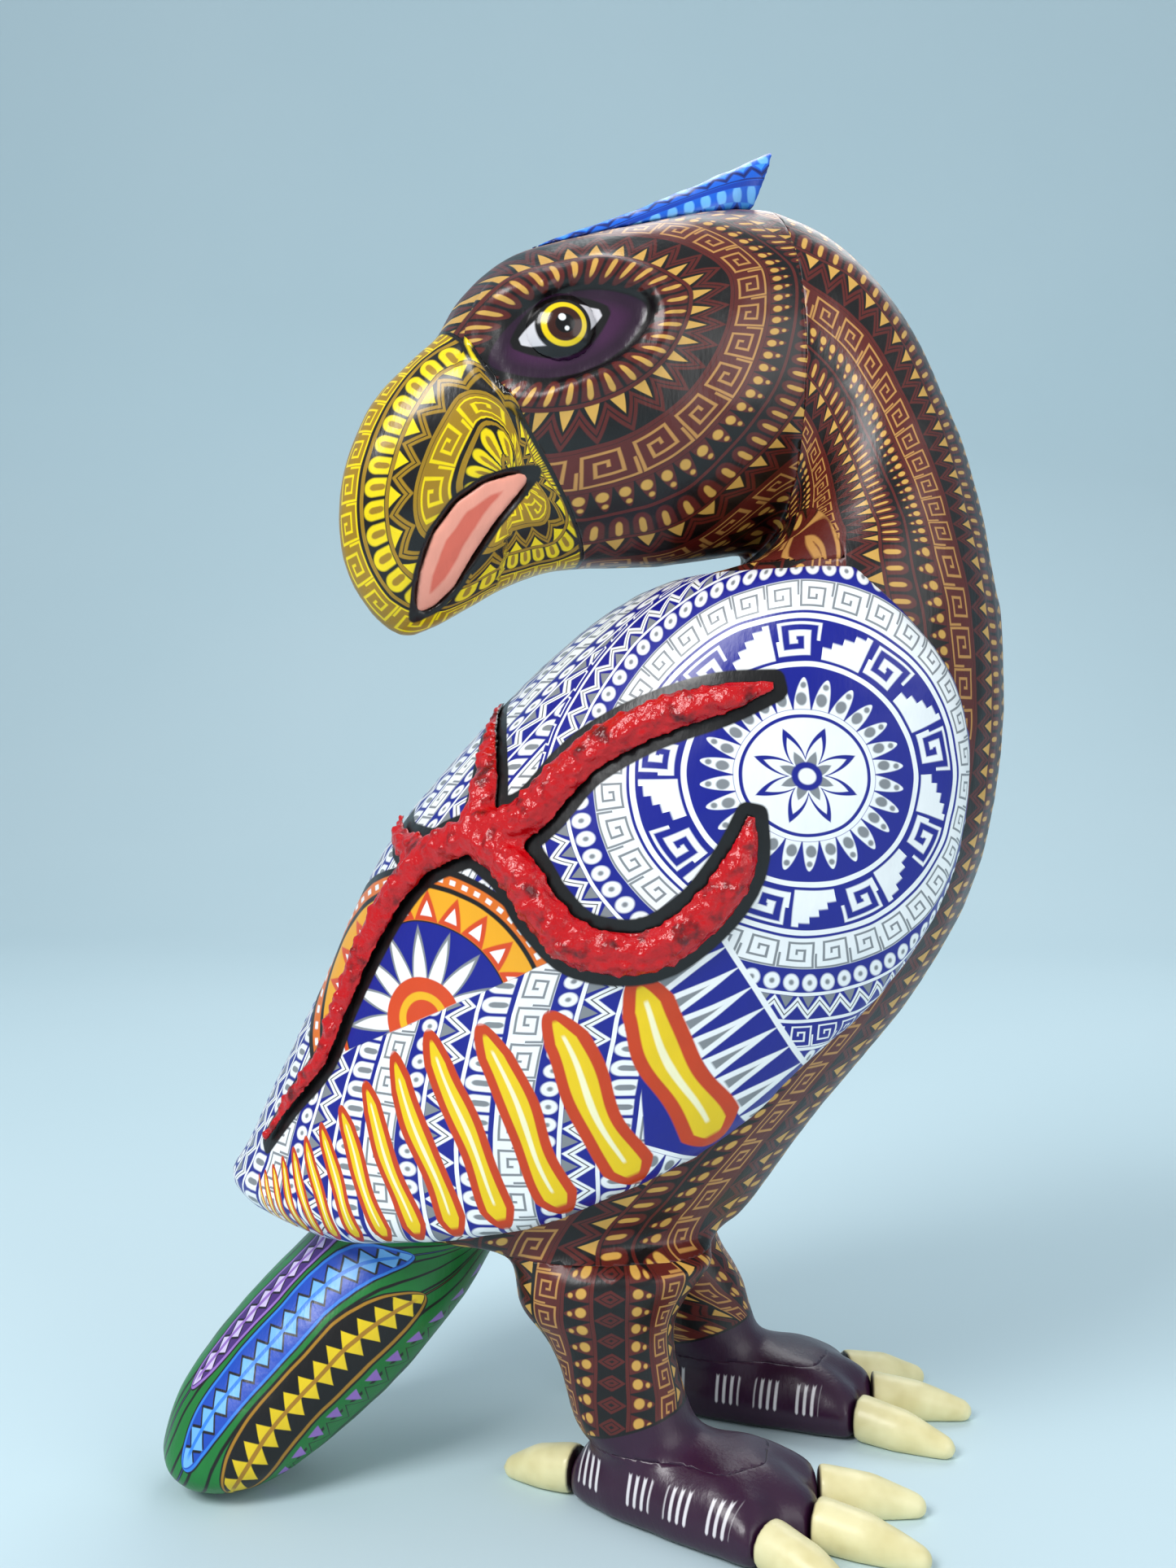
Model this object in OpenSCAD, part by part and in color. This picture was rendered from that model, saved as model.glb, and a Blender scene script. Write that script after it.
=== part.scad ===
// Painted wood-carved eagle: a standing figure that looks back over its own back.
// The bird faces +X, its right side is -Y, and it stands on the plane z = 0.

/* [Figure] */
// Height from the floor to the tip of the crest
figure_h = 450; // [375:5:540]
// Width across the two wings at the shoulders
body_w = 158; // [131:0.1:190]
// How far the head is turned towards the right wing, in degrees from straight back
head_turn = 22; // [10:1:30]
// How far the left leg stands ahead of the right leg
stride = 22; // [0:1:30]
// How far the tail tip leans out to the right
tail_lean = 34; // [0:1:40]

/* [Wings] */
// Thickness of a wing panel over the back
wing_t = 8; // [6:0.1:10]
// Space left between a wing panel and the body block for the glue
glue_gap = 0.25; // [0.15:0.05:0.4]
// Half width of the thick arms of the raised red relief
relief_r = 7; // [5:0.2:8]

/* [Crest] */
// Width of the crest at its seat
crest_w = 25; // [20:1:30]
// Running clearance under the crest and round its peg
crest_gap = 0.3; // [0.2:0.05:0.5]
// Diameter of the crest's peg
crest_peg_d = 8; // [6:0.1:10]
// Length of the crest's peg
crest_peg_l = 26; // [20:1:30]
// Radial clearance of the peg in its socket
peg_clearance = 0.06; // [0.03:0.01:0.1]

/* [Dowels] */
// Diameter of the dowel between neck and head
neck_dowel_d = 18; // [12:1:22]
// Length of the dowel between neck and head
neck_dowel_l = 56; // [46:1:66]
// Diameter of the dowel that holds the beak
beak_dowel_d = 10; // [8:1:12]
// Length of the dowel that holds the beak
beak_dowel_l = 34; // [28:1:40]
// Diameter of the pegs that pin a wing to the body
wing_peg_d = 6; // [4:0.5:7]
// Length of the pegs that pin a wing to the body
wing_peg_l = 22; // [18:1:26]
// Diameter of the dowel at the top of a leg
leg_dowel_d = 14; // [10:1:18]
// Length of the dowel at the top of a leg
leg_dowel_l = 40; // [32:1:48]
// Diameter of the dowel between shank and foot
ankle_dowel_d = 9; // [7:1:12]
// Length of the dowel between shank and foot
ankle_dowel_l = 24; // [20:1:28]
// Diameter of the dowel in the root of the tail
tail_dowel_d = 16; // [12:1:18]
// Length of the dowel in the root of the tail
tail_dowel_l = 50; // [40:1:56]

/* [Feet] */
// Turn of the right foot, outwards, in degrees
right_toe_out = 20; // [0:1:25]
// Turn of the left foot, outwards, in degrees
left_toe_out = -3; // [-5:1:25]
// Half width of a toe at the root of its claw
toe_r = 9; // [7:0.25:10.75]
// Distance from the ankle to the root of the middle claw
toe_reach = 58; // [48:0.2:70]
// Length of a front claw
claw_l = 36; // [28:1:42]
// Radius of an eyeball, as a round bead set into its socket
eye_r = 15; // [13:0.5:16]

/* [Hidden] */

// The stations below are drawn at this height and width, and grow with figure_h and body_w.
drawn_h = 450;
drawn_w = 158;
kh = figure_h / drawn_h;
kw = body_w / drawn_w;
// Points round a ring, and rings laid between two drawn stations
ring_sides = 32;
steps = 3;
// The glue gap grows with the figure, as the flats of its faces do
gap = glue_gap * max(kh, kw);
// Longer than any cut needs
far = 400;
// Where the middle of the finished figure lies before it is moved over the frame's origin
middle_x = 1.3 * kh;
middle_y = -5 * kw;

// Colours its children and moves them over the frame's origin
module painted(tint) {
  color(tint)
    translate([-middle_x, -middle_y, 0])
      children();
}

// ---- Lofts ----------------------------------------------------------------------------
// A station is [outer x, y, z, inner x, y, z, half width, turn of the width direction, roundness],
// where roundness is 1 for an ellipse and less for a fuller section.
function scaled(s) = [s[0] * kh, s[1] * kw, s[2] * kh, s[3] * kh, s[4] * kw, s[5] * kh, s[6] * kw, s[7], s[8]];

function between(a, b, c, d, t) =
  b + (c - a) * t / 2 + (a * 2 - b * 5 + c * 4 - d) * pow(t, 2) / 2 + (b * 3 - a - c * 3 + d) * pow(t, 3) / 2;

function fair(st, n = steps) = [
  for (i = [0 : len(st) - 2], j = [0 : n - 1])
    between(st[max(i - 1, 0)], st[i], st[i + 1], st[min(i + 2, len(st) - 1)], j / n),
  st[len(st) - 1]
];

function outer(s) = [s[0], s[1], s[2]];
function inner(s) = [s[3], s[4], s[5]];
function middle(s) = (outer(s) + inner(s)) / 2;
function full(x, roundness) = sign(x) * pow(abs(x), roundness);
function on_ring(s, a, grow = 0) =
  let (u = (outer(s) - inner(s)) / 2, v = [sin(s[7]), -cos(s[7]), 0])
  middle(s) + u * (1 + grow / norm(u)) * full(cos(a), s[8]) + v * (s[6] + grow) * full(sin(a), s[8]);

function ring(s, grow = 0) = [for (k = [0 : ring_sides - 1]) on_ring(s, k * 360 / ring_sides, grow)];

// Skins a list of rings of n points each, and closes both ends with flat caps.
module skin(rings) {
  n = len(rings[0]);
  m = len(rings);
  points = [for (r = rings) for (p = r) p];
  sides = [
    for (i = [0 : m - 2], k = [0 : n - 1])
      let (a = i * n + k, b = i * n + (k + 1) % n)
      each [[a, b, b + n], [a, b + n, a + n]]
  ];
  caps = [[for (k = [n - 1 : -1 : 0]) k], [for (k = [0 : n - 1]) (m - 1) * n + k]];
  polyhedron(points = points, faces = concat(sides, caps), convexity = 6);
}

module loft(stations, grow = 0) {
  skin([for (s = stations) ring(s, grow)]);
}

// ---- Body block: neck, chest and belly ---------------------------------------------------
// The head turns about the upright through this point of the drawing
neck_joint = [28, -4, 0];
// Height of the flat joints of the belly with the legs and the tail
joint_z = 82 * kh;
// Where the head's flat back face meets the neck, in the head's own frame
head_back = -30;
head_forward = [-cos(head_turn), -sin(head_turn), 0];
head_side = [sin(head_turn), -cos(head_turn), 0];
function in_head(a, z, side = 0) =
  [neck_joint[0] * kh, neck_joint[1] * kw, 0] + head_forward * a * kh + head_side * side * kw + [0, 0, z * kh];
function head_station(top, bottom, w, roundness = 0.88) =
  let (t = in_head(top[0], top[1]), b = in_head(bottom[0], bottom[1]))
  [t[0], t[1], t[2], b[0], b[1], b[2], w * kw, head_turn, roundness];

neck_face = head_station([head_back, 427], [head_back, 309.5], 46, 0.95);
neck_stations = [
  neck_face,
  scaled([82, 6, 413, 57, 6, 308, 47.5, head_turn * 0.85, 0.97]),
  scaled([104, 5, 388, 55.5, 4, 305, 49.5, head_turn * 0.6, 1]),
  scaled([120.5, 3, 356, 51.5, 2, 301.6, 53, head_turn * 0.35, 1]),
  scaled([131, 1, 326, 45, 1, 299.2, 57.5, head_turn * 0.12, 1])
];
// Trunk: height, back, front, half width
trunk = [[298, 33, 137, 62], [282, 9, 139.5, 66.5], [262, -14, 140.5, 69.5], [240, -34, 139.5, 71],
  [215, -54, 136, 71], [190, -68, 128, 69], [165, -79, 114, 66], [142, -87, 97, 63], [120, -92, 79, 60],
  [105, -93, 68, 57.5], [93, -92.5, 60, 55], [82, -91, 53, 51]];
trunk_stations = [for (t = trunk) scaled([t[2], 0, t[0], t[1], 0, t[0], t[3], 0, 1])];
body_rings = fair(concat(neck_stations, trunk_stations));

module body_shape() {
  loft(body_rings);
}

// ---- Wings: panels that lie over the body block like a cape ------------------------------------
// Outer back line of the closed wings, and the line of their front and lower edge
wing_back = [24, -1, -23, -44, -65, -79, -90, -101, -111.5, -118.5, -124, -104];
wing_edge = [86, 105, 121, 126.5, 125, 117, 99, 73, 48, 14, -22, -84];
drawn_wing_t = 8;
// A panel thins towards its edges over this distance
edge_round = 10;
wing_inner = [for (i = [len(neck_stations) * steps : len(body_rings) - 1]) body_rings[i]];
wing_outer = fair([for (i = [0 : len(trunk) - 1])
  let (t = trunk[i])
  [t[2] * kh + wing_t, 0, t[0] * kh, wing_back[i] * kh + drawn_wing_t - wing_t, 0, t[0] * kh,
    t[3] * kw + wing_t, 0, 1]]);
wing_edges = fair([for (i = [0 : len(trunk) - 1]) [wing_edge[i] * kh, 0]]);
wing_columns = 22;

function edge_angle(i) =
  let (s = wing_outer[i], c = (s[0] + s[3]) / 2, r = (s[0] - s[3]) / 2)
  acos(max(-1, min(1, (wing_edges[i][0] - c) / r)));
function swell(x) = let (t = max(0, min(1, x / edge_round))) 0.45 + 0.55 * sqrt(1 - pow(1 - t, 2));
function wing_point(i, k, face) =
  let (a0 = edge_angle(i),
    a = a0 + (180 - a0) * k / wing_columns,
    p = on_ring(wing_inner[i], a, gap),
    q = on_ring(wing_outer[i], a),
    near = min(norm(on_ring(wing_outer[i], a0) - q), (wing_inner[0][2] - p[2]) * 1.2, (p[2] - joint_z) * 1.5 + 4))
  face == 0 ? p : p + (q - p) * swell(near);

// One closed strip of points per level: out along the inner face and back along the outer face
function wing_ring(i) = concat(
  [for (k = [0 : wing_columns]) wing_point(i, k, 0)],
  [for (k = [wing_columns : -1 : 0]) wing_point(i, k, 1)]);

module wing_panel() {
  skin([for (i = [len(wing_outer) - 1 : -1 : 0]) wing_ring(i)]);
}

// Pegs: level index along the wing, and angle round it
wing_peg_spots = [[5, 75], [12, 95], [19, 110]];
// A peg ends this far under the painted face
peg_sunk = 2;
module wing_peg_set() {
  for (s = wing_peg_spots) {
    p = on_ring(wing_outer[s[0]], s[1]);
    translate([p[0], p[1] + peg_sunk, p[2]])
      rotate([90, 0, 0])
        translate([0, 0, -wing_peg_l])
          cylinder(d = wing_peg_d, h = wing_peg_l, $fn = 32);
  }
}

module wing() {
  difference() {
    wing_panel();
    wing_peg_set();
  }
}

// ---- Raised relief: a branching antler of modelled putty on each wing -------------------------------
// Height of an arm as a share of its half width
relief_rise = 0.9;
// Each arm's foot lies this much above the one before, so that no two feet share a face
arm_step = 0.2;
// Arms: lists of [x, z, half width as a share of relief_r]
relief_arms = [
  [[-29, 216, 1], [-27, 232, 0.8], [-29, 256, 0.3]],
  [[-29, 216, 1], [-12, 222, 1.05], [4, 239, 1], [24, 250.5, 0.9], [46, 257.5, 0.75], [62, 261.5, 0.25]],
  [[-29, 216, 1], [-16, 207, 1.05], [-7, 194, 1.05], [5, 184, 1.05], [24, 183, 1], [40, 193, 0.95],
   [51, 208, 0.85], [55, 224, 0.25]],
  [[-29, 216, 1], [-46, 208, 1], [-58, 194, 0.9], [-68, 176, 0.8], [-76, 158, 0.7], [-82, 142, 0.6],
   [-93, 128, 0.5], [-104, 112, 0.3]],
  [[-46, 208, 0.9], [-58, 212, 0.6], [-60, 218, 0.3]]
];
function cape_section(z) =
  let (near = [for (i = [0 : len(wing_outer) - 2]) if (wing_outer[i][2] >= z && wing_outer[i + 1][2] <= z) i],
    i = near[0],
    t = (wing_outer[i][2] - z) / (wing_outer[i][2] - wing_outer[i + 1][2]))
  wing_outer[i] * (1 - t) + wing_outer[i + 1] * t;
function cape_turn(x, z) =
  let (s = cape_section(z))
  acos(max(-0.985, min(0.985, (2 * x - s[0] - s[3]) / (s[0] - s[3]))));
function on_cape(x, z) = on_ring(cape_section(z), cape_turn(x, z));

function unit(v) = v / norm(v);
function cape_normal(x, z) =
  let (e = 2,
    a = cape_turn(x, z),
    around = on_ring(cape_section(z), a + e) - on_ring(cape_section(z), a - e),
    up = on_ring(cape_section(z + e), a) - on_ring(cape_section(z - e), a))
  unit(cross(up, around));

// One rib of an arm: a half round standing on the wing, from one foot round to the other
function arm_rib(before, here, after, foot) =
  let (p = on_cape(here[0], here[1]),
    n = cape_normal(here[0], here[1]),
    along = unit(on_cape(after[0], after[1]) - on_cape(before[0], before[1])),
    across = unit(cross(along, n)),
    r = relief_r * here[2])
  [for (a = [0 : 20 : 180]) p + across * r * cos(a) + n * (foot + r * relief_rise * sin(a))];

module relief_arm(arm, foot) {
  path = fair([for (p = arm) [p[0] * kh, p[1] * kh, p[2]]], 4);
  last = len(path) - 1;
  skin([for (i = [0 : last]) arm_rib(path[max(i - 1, 0)], path[i], path[min(i + 1, last)], foot)]);
}

module relief() {
  for (k = [0 : len(relief_arms) - 1])
    relief_arm(relief_arms[k], gap + arm_step * k);
}

// ---- Head, beak, eyes and crest -----------------------------------------------------------------
head_stations = fair([
  neck_face,
  head_station([-10, 424], [-10, 305.5], 48),
  head_station([14, 417.5], [6, 303.5], 48),
  head_station([38, 410.5], [17, 303], 47),
  head_station([58, 403], [25, 302.5], 44),
  head_station([72, 391], [30, 302.3], 39.5),
  head_station([80, 377], [33, 302], 35)
]);
beak_stations = fair([
  head_station([80, 377], [33, 302], 31),
  head_station([91, 366.5], [47, 299.5], 27.5),
  head_station([103, 352], [59, 294.5], 22.5),
  head_station([110, 335], [69, 288.5], 18),
  head_station([112.5, 318.5], [76.5, 284], 14),
  head_station([111, 303], [82, 281], 10),
  head_station([105.5, 290], [86, 278.8], 6),
  head_station([96.5, 279.8], [90.5, 277], 1.8)
]);
// The painted mouth lies this far below the beak's own surface
lining_depth = 1.5;
mouth = [[54, 330], [62, 328.5], [70, 326], [78, 320], [85, 310], [88.5, 298], [89, 285], [83, 288],
  [77, 294], [72, 304], [66, 314], [60, 322]];

// Places its children in the head's own frame: x forward, y to the left, z up
module in_head_frame() {
  multmatrix([
    [head_forward[0], head_side[0], 0, neck_joint[0] * kh],
    [head_forward[1], head_side[1], 0, neck_joint[1] * kw],
    [0, 0, 1, 0],
    [0, 0, 0, 1]
  ]) children();
}

// A slab cut from the outline, standing across the head from side y0 to side y1
module slab(outline, y0, y1) {
  translate([0, y1, 0])
    rotate([90, 0, 0])
      linear_extrude(height = y1 - y0)
        polygon([for (p = outline) p * kh]);
}

// Eye sockets: half length and half height, middle in the head's side view, and slope of the long axis
socket_reach = [28, 15.4];
socket_middle = [46, 371.5];
socket_tilt = 22;
// The floor's distance from the head's middle plane, and its turns towards the beak and the crown
socket_floor = 36 * kw;
socket_swing = 13;
socket_tip = 8;
socket_outline = [for (a = [0 : 15 : 345])
  let (x = socket_reach[0] * cos(a), z = socket_reach[1] * sin(a) * (0.75 + 0.25 * abs(sin(a))))
  [x * cos(socket_tilt) + z * sin(socket_tilt), -x * sin(socket_tilt) + z * cos(socket_tilt)]];
eye_at = [48.5, 373.5];
// An eye stands this far proud of its socket's floor
eye_dome = 5.5;

// Children drawn in the (x, z) plane of the head's side, with y outwards, are set on a socket's floor
module on_socket(side) {
  in_head_frame()
    translate([socket_middle[0] * kh, side * socket_floor, socket_middle[1] * kh])
      rotate([0, 0, -side * socket_swing])
        rotate([-(90 - socket_tip) * side, 0, 0])
          children();
}

// The crest's flat seat: its front end, its rise towards the back, and the peg's place along it
seat_front = [50, 407.5];
seat_slope = atan2(19, 78);
peg_at = -8;

// Children drawn about z = 0 are set on the crest's seat, x forward, at the peg's place
module on_seat() {
  in_head_frame()
    translate([peg_at * kh, 0, (seat_front[1] + (seat_front[0] - peg_at) * tan(seat_slope)) * kh])
      rotate([0, seat_slope, 0])
        children();
}

module peg_hole(d, depth) {
  translate([0, 0, -depth])
    cylinder(d = d, h = depth + 1, $fn = 48);
}

// A dowel's axis runs along the head's forward direction, through the given height
module along_head(a, z, tilt, d, l) {
  in_head_frame()
    translate([a * kh, 0, z * kh])
      rotate([0, 90 + tilt, 0])
        translate([0, 0, -l / 2])
          cylinder(d = d, h = l, $fn = 48);
}

// Height of the neck's dowel
neck_dowel_z = 366;
module neck_dowel_shape() {
  along_head(head_back, neck_dowel_z, 0, neck_dowel_d, neck_dowel_l);
}

// Middle of the beak's dowel in the head's side view, and its slope
beak_dowel_at = [56, 339];
beak_dowel_tilt = 32;
module beak_dowel_shape() {
  along_head(beak_dowel_at[0], beak_dowel_at[1], beak_dowel_tilt, beak_dowel_d, beak_dowel_l);
}

// Most of the crest's peg stays in the head
crest_socket_depth = crest_peg_l * 0.72;
module head() {
  painted("#6b241c")
    difference() {
      loft(head_stations);
      on_seat()
        translate([-far / 2, -far / 2, 0])
          cube([far, far, far]);
      on_seat()
        peg_hole(crest_peg_d + 2 * peg_clearance, crest_socket_depth + 1);
      neck_dowel_shape();
      beak_dowel_shape();
      for (side = [-1, 1])
        on_socket(side)
          linear_extrude(height = far)
            polygon([for (p = socket_outline) [p[0], -side * p[1]] * kh]);
    }
}

module beak() {
  painted("#f5d400")
    difference() {
      loft(beak_stations);
      beak_dowel_shape();
      in_head_frame()
        slab(mouth, -far, far);
    }
}

module tongue() {
  painted("#e8836a")
    difference() {
      intersection() {
        in_head_frame()
          slab(mouth, -far, far);
        loft(beak_stations, -lining_depth);
      }
      beak_dowel_shape();
    }
}

module eye(side) {
  painted("#f0c000")
    on_socket(side)
      translate([(eye_at[0] - socket_middle[0]) * kh, -side * (eye_at[1] - socket_middle[1]) * kh, 0])
        intersection() {
          translate([0, 0, eye_dome - eye_r])
            sphere(r = eye_r, $fn = 64);
          translate([-eye_r, -eye_r, 0])
            cube([2 * eye_r, 2 * eye_r, eye_dome + 1]);
        }
}

// Lean of the crest towards the back, as a share of its height
crest_rake = 0.76;
// Stations along the crest: place ahead of the peg, height above the seat, half width
crest_stations = fair([
  [59, 0.6, 3],
  [42, 3.8, 0.62 * crest_w / 2],
  [22, 8.2, 0.9 * crest_w / 2],
  [4, 12.8, crest_w / 2],
  [-9.5, 17, 0.9 * crest_w / 2],
  [-20.5, 20.4, 0.62 * crest_w / 2]
]);
module crest() {
  painted("#1670d8")
    on_seat()
      difference() {
        skin([for (s = crest_stations)
          [for (k = [0 : ring_sides - 1])
            let (a = k * 360 / ring_sides)
            [(s[0] - s[1] * cos(a) * crest_rake) * kh, s[2] * sin(a), s[1] * kh * cos(a)]]]);
        translate([-far / 2, -far / 2, crest_gap - far])
          cube([far, far, far]);
        translate([0, 0, crest_gap])
          peg_hole(crest_peg_d, 1);
        cylinder(d = crest_peg_d, h = crest_peg_l - crest_socket_depth, $fn = 48);
      }
}

module crest_peg() {
  painted("burlywood")
    on_seat()
      translate([0, 0, -crest_socket_depth])
        cylinder(d = crest_peg_d, h = crest_peg_l, $fn = 48);
}

// ---- Tail ------------------------------------------------------------------------------------------
function tail_station(left, right, w, lean) =
  [left[0] * kh, -lean * tail_lean, left[1] * kh, right[0] * kh, -lean * tail_lean, right[1] * kh, w * kw, 0, 0.92];
tail_stations = fair([
  tail_station([-89, 82], [-25, 82], 31, 0),
  tail_station([-105, 66], [-42, 54], 32, 0.25),
  tail_station([-122, 47], [-61, 32], 32, 0.5),
  tail_station([-133, 31], [-80, 15], 30, 0.75),
  tail_station([-138, 18], [-97, 5], 26, 0.92),
  tail_station([-136, 9], [-110, 1.2], 18, 0.99),
  tail_station([-131, 5], [-119, 0.8], 8, 1)
]);
// Slope of the tail's dowel from the upright
tail_dowel_tilt = 32;
module tail_dowel_shape() {
  translate([-62 * kh, -tail_lean * 0.06, joint_z])
    rotate([0, tail_dowel_tilt, 0])
      translate([0, 0, -tail_dowel_l / 2])
        cylinder(d = tail_dowel_d, h = tail_dowel_l, $fn = 48);
}

module tail() {
  painted("#1f8a3a")
    difference() {
      loft(tail_stations);
      tail_dowel_shape();
    }
}

// ---- Legs and feet: drawn for the right side, at the right leg's place ---------------------------
leg_y = 38;
// Height of the flat seat of a shank on its foot
foot_joint_z = 22;
function leg_station(z, back, front, w, ahead) =
  [front * kh + ahead, -leg_y * kw, z * kh, back * kh + ahead, -leg_y * kw, z * kh, w * kw, 0, 0.95];
function leg_stations(ahead) = fair([
  leg_station(82, -20, 48, 25, 0),
  leg_station(73, -21, 39, 23.5, ahead * 0.25),
  leg_station(64, -19, 33, 20.5, ahead * 0.5),
  leg_station(56, -11.5, 31, 17.5, ahead * 0.75),
  leg_station(46, -6.5, 32, 16.5, ahead),
  leg_station(34, -3, 35.5, 16.5, ahead),
  leg_station(foot_joint_z, 0, 40, 18, ahead)
]);
ankle_x = 20 * kh;

module leg_dowel_shape() {
  translate([14 * kh, -leg_y * kw, joint_z - leg_dowel_l / 2])
    cylinder(d = leg_dowel_d, h = leg_dowel_l, $fn = 48);
}

module ankle_dowel_shape(ahead) {
  translate([ankle_x + ahead, -leg_y * kw, foot_joint_z * kh - ankle_dowel_l / 2])
    cylinder(d = ankle_dowel_d, h = ankle_dowel_l, $fn = 48);
}

module leg(ahead) {
  difference() {
    loft(leg_stations(ahead));
    leg_dowel_shape();
    ankle_dowel_shape(ahead);
  }
}

// Thickness of a claw against its toe, and the spread that keeps the claws clear of the next toe
claw_share = 0.88;
short_toe = 0.9;
toe_spread = asin(2.03 * toe_r / (short_toe * toe_reach));
// Toes: angle from the middle toe, share of toe_reach, share of claw_l
toes = [[-toe_spread, short_toe, 0.9], [0, 1, 1], [toe_spread, 0.97, 0.97]];
// The hind toe: distance of its face from the ankle, and length of its claw as a share of claw_l
hallux_reach = 22;
hallux_claw = 0.75;
finger_sides = 20;

module at_ankle(ahead, toe_out) {
  translate([ankle_x + ahead, -leg_y * kw, 0])
    rotate(-toe_out)
      children();
}

// A toe is a tall rounded finger that ends in a flat face across its own direction
toe_tall = 1.35 * kh;
// Radius of the ball under the ankle and of a knuckle, and the knuckle's distance behind the toe's face
ankle_ball = 1.9 * toe_r;
knuckle = 1.12 * toe_r;
knuckle_back = 2.2 * toe_r;
module toe(angle, reach) {
  hull() {
    translate([0, 0, toe_r])
      scale([1, 1, toe_tall * 0.72])
        sphere(r = ankle_ball, $fn = finger_sides);
    rotate(angle) {
      translate([reach - knuckle_back, 0, toe_r * toe_tall * 0.95])
        scale([1, 1, toe_tall])
          sphere(r = knuckle, $fn = finger_sides);
      translate([reach - 1, 0, toe_r * 0.85])
        rotate([0, 90, 0])
          cylinder(r = toe_r, h = 1, $fn = finger_sides);
    }
  }
}

// The leg stands on a flat seat of this reach behind and ahead, and to each side
seat_x = [-4, 40];
seat_half = 24;

module foot(ahead, toe_out) {
  difference() {
    at_ankle(ahead, toe_out)
      intersection() {
        union() {
          for (t = toes)
            toe(t[0], toe_reach * t[1]);
          toe(180, hallux_reach);
        }
        translate([-far / 2, -far / 2, 0])
          cube([far, far, far]);
      }
    translate([seat_x[0] * kh + ahead, -(leg_y + seat_half) * kw, foot_joint_z * kh])
      cube([(seat_x[1] - seat_x[0]) * kh, 2 * seat_half * kw, far]);
    ankle_dowel_shape(ahead);
  }
}

// A claw runs straight to this share of its length, then down to a blunt tip of this share of its radius
claw_bend = 0.42;
claw_tip = 0.55;
module claw(angle, reach, length, r) {
  rotate(angle)
    intersection() {
      hull() {
        translate([reach, 0, toe_r * 0.8])
          rotate([0, 90, 0])
            cylinder(r = r, h = 1, $fn = finger_sides);
        translate([reach + length * claw_bend, 0, toe_r * 0.6])
          scale([1.2, 0.94, 0.94])
            sphere(r = r, $fn = finger_sides);
        translate([reach + length - r * claw_tip, 0, toe_r * 0.32])
          sphere(r = r * claw_tip, $fn = finger_sides);
      }
      translate([reach, -far / 2, 0])
        cube([far, far, far]);
    }
}

module claws(ahead, toe_out) {
  at_ankle(ahead, toe_out) {
    for (t = toes)
      claw(t[0], toe_reach * t[1], claw_l * t[2], toe_r * claw_share);
    claw(180, hallux_reach, claw_l * hallux_claw, toe_r * claw_share);
  }
}

// ---- Nodes -------------------------------------------------------------------------------------------
module left() {
  mirror([0, 1, 0])
    children();
}

module body() {
  painted("#5a1f18")
    difference() {
      body_shape();
      neck_dowel_shape();
      tail_dowel_shape();
      leg_dowel_shape();
      left() leg_dowel_shape();
      wing_peg_set();
      left() wing_peg_set();
    }
}

module wing_right() {
  painted("white") wing();
}

module wing_left() {
  painted("white") left() wing();
}

module relief_right() {
  painted("#d3121f") relief();
}

module relief_left() {
  painted("#d3121f") left() relief();
}

module leg_right() {
  painted("#6b241c") leg(0);
}

module leg_left() {
  painted("#6b241c") left() leg(stride);
}

module foot_right() {
  painted("#3a1a33") foot(0, right_toe_out);
}

module foot_left() {
  painted("#3a1a33") left() foot(stride, left_toe_out);
}

module claws_right() {
  painted("#efe8b8") claws(0, right_toe_out);
}

module claws_left() {
  painted("#efe8b8") left() claws(stride, left_toe_out);
}

module neck_dowel() {
  painted("burlywood") neck_dowel_shape();
}

module beak_dowel() {
  painted("burlywood") beak_dowel_shape();
}

module wing_pegs() {
  painted("burlywood") {
    wing_peg_set();
    left() wing_peg_set();
  }
}

module leg_dowels() {
  painted("burlywood") {
    leg_dowel_shape();
    left() leg_dowel_shape();
  }
}

module ankle_dowels() {
  painted("burlywood") {
    ankle_dowel_shape(0);
    left() ankle_dowel_shape(stride);
  }
}

module tail_dowel() {
  painted("burlywood") tail_dowel_shape();
}

body();
head();
beak();
tongue();
eye(-1);  // eye_right
eye(1);  // eye_left
crest();
crest_peg();
wing_right();
wing_left();
relief_right();
relief_left();
tail();
leg_right();
leg_left();
foot_right();
foot_left();
claws_right();
claws_left();
neck_dowel();
beak_dowel();
wing_pegs();
leg_dowels();
ankle_dowels();
tail_dowel();
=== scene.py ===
"""Looks for the painted wooden eagle: fine meshes over the CAD frame, and painted materials made of nodes."""

import math

import bmesh
import bpy
import numpy as np
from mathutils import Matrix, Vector, noise
from mathutils.bvhtree import BVHTree


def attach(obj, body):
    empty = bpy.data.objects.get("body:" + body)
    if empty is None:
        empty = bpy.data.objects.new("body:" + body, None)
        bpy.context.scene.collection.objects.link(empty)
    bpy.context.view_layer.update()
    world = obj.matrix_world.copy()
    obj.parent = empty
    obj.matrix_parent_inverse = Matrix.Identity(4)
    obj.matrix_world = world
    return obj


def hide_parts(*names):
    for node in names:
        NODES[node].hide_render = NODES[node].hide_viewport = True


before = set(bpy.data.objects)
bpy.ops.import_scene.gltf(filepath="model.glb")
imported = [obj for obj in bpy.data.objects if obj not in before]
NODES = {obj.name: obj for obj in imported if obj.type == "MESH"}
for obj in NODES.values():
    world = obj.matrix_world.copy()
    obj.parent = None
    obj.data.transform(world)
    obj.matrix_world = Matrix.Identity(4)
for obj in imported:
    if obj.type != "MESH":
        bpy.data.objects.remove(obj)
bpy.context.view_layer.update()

# ---- The figure's own coordinates ----
# Millimetres, as the figure was drawn: x towards the breast, y to the left, z up.
MM = 0.001
MIDDLE = np.array([1.3, -5.0, 0.0])
HEAD_TURN = math.radians(22)
NECK = np.array([28.0, -4.0])
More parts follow.
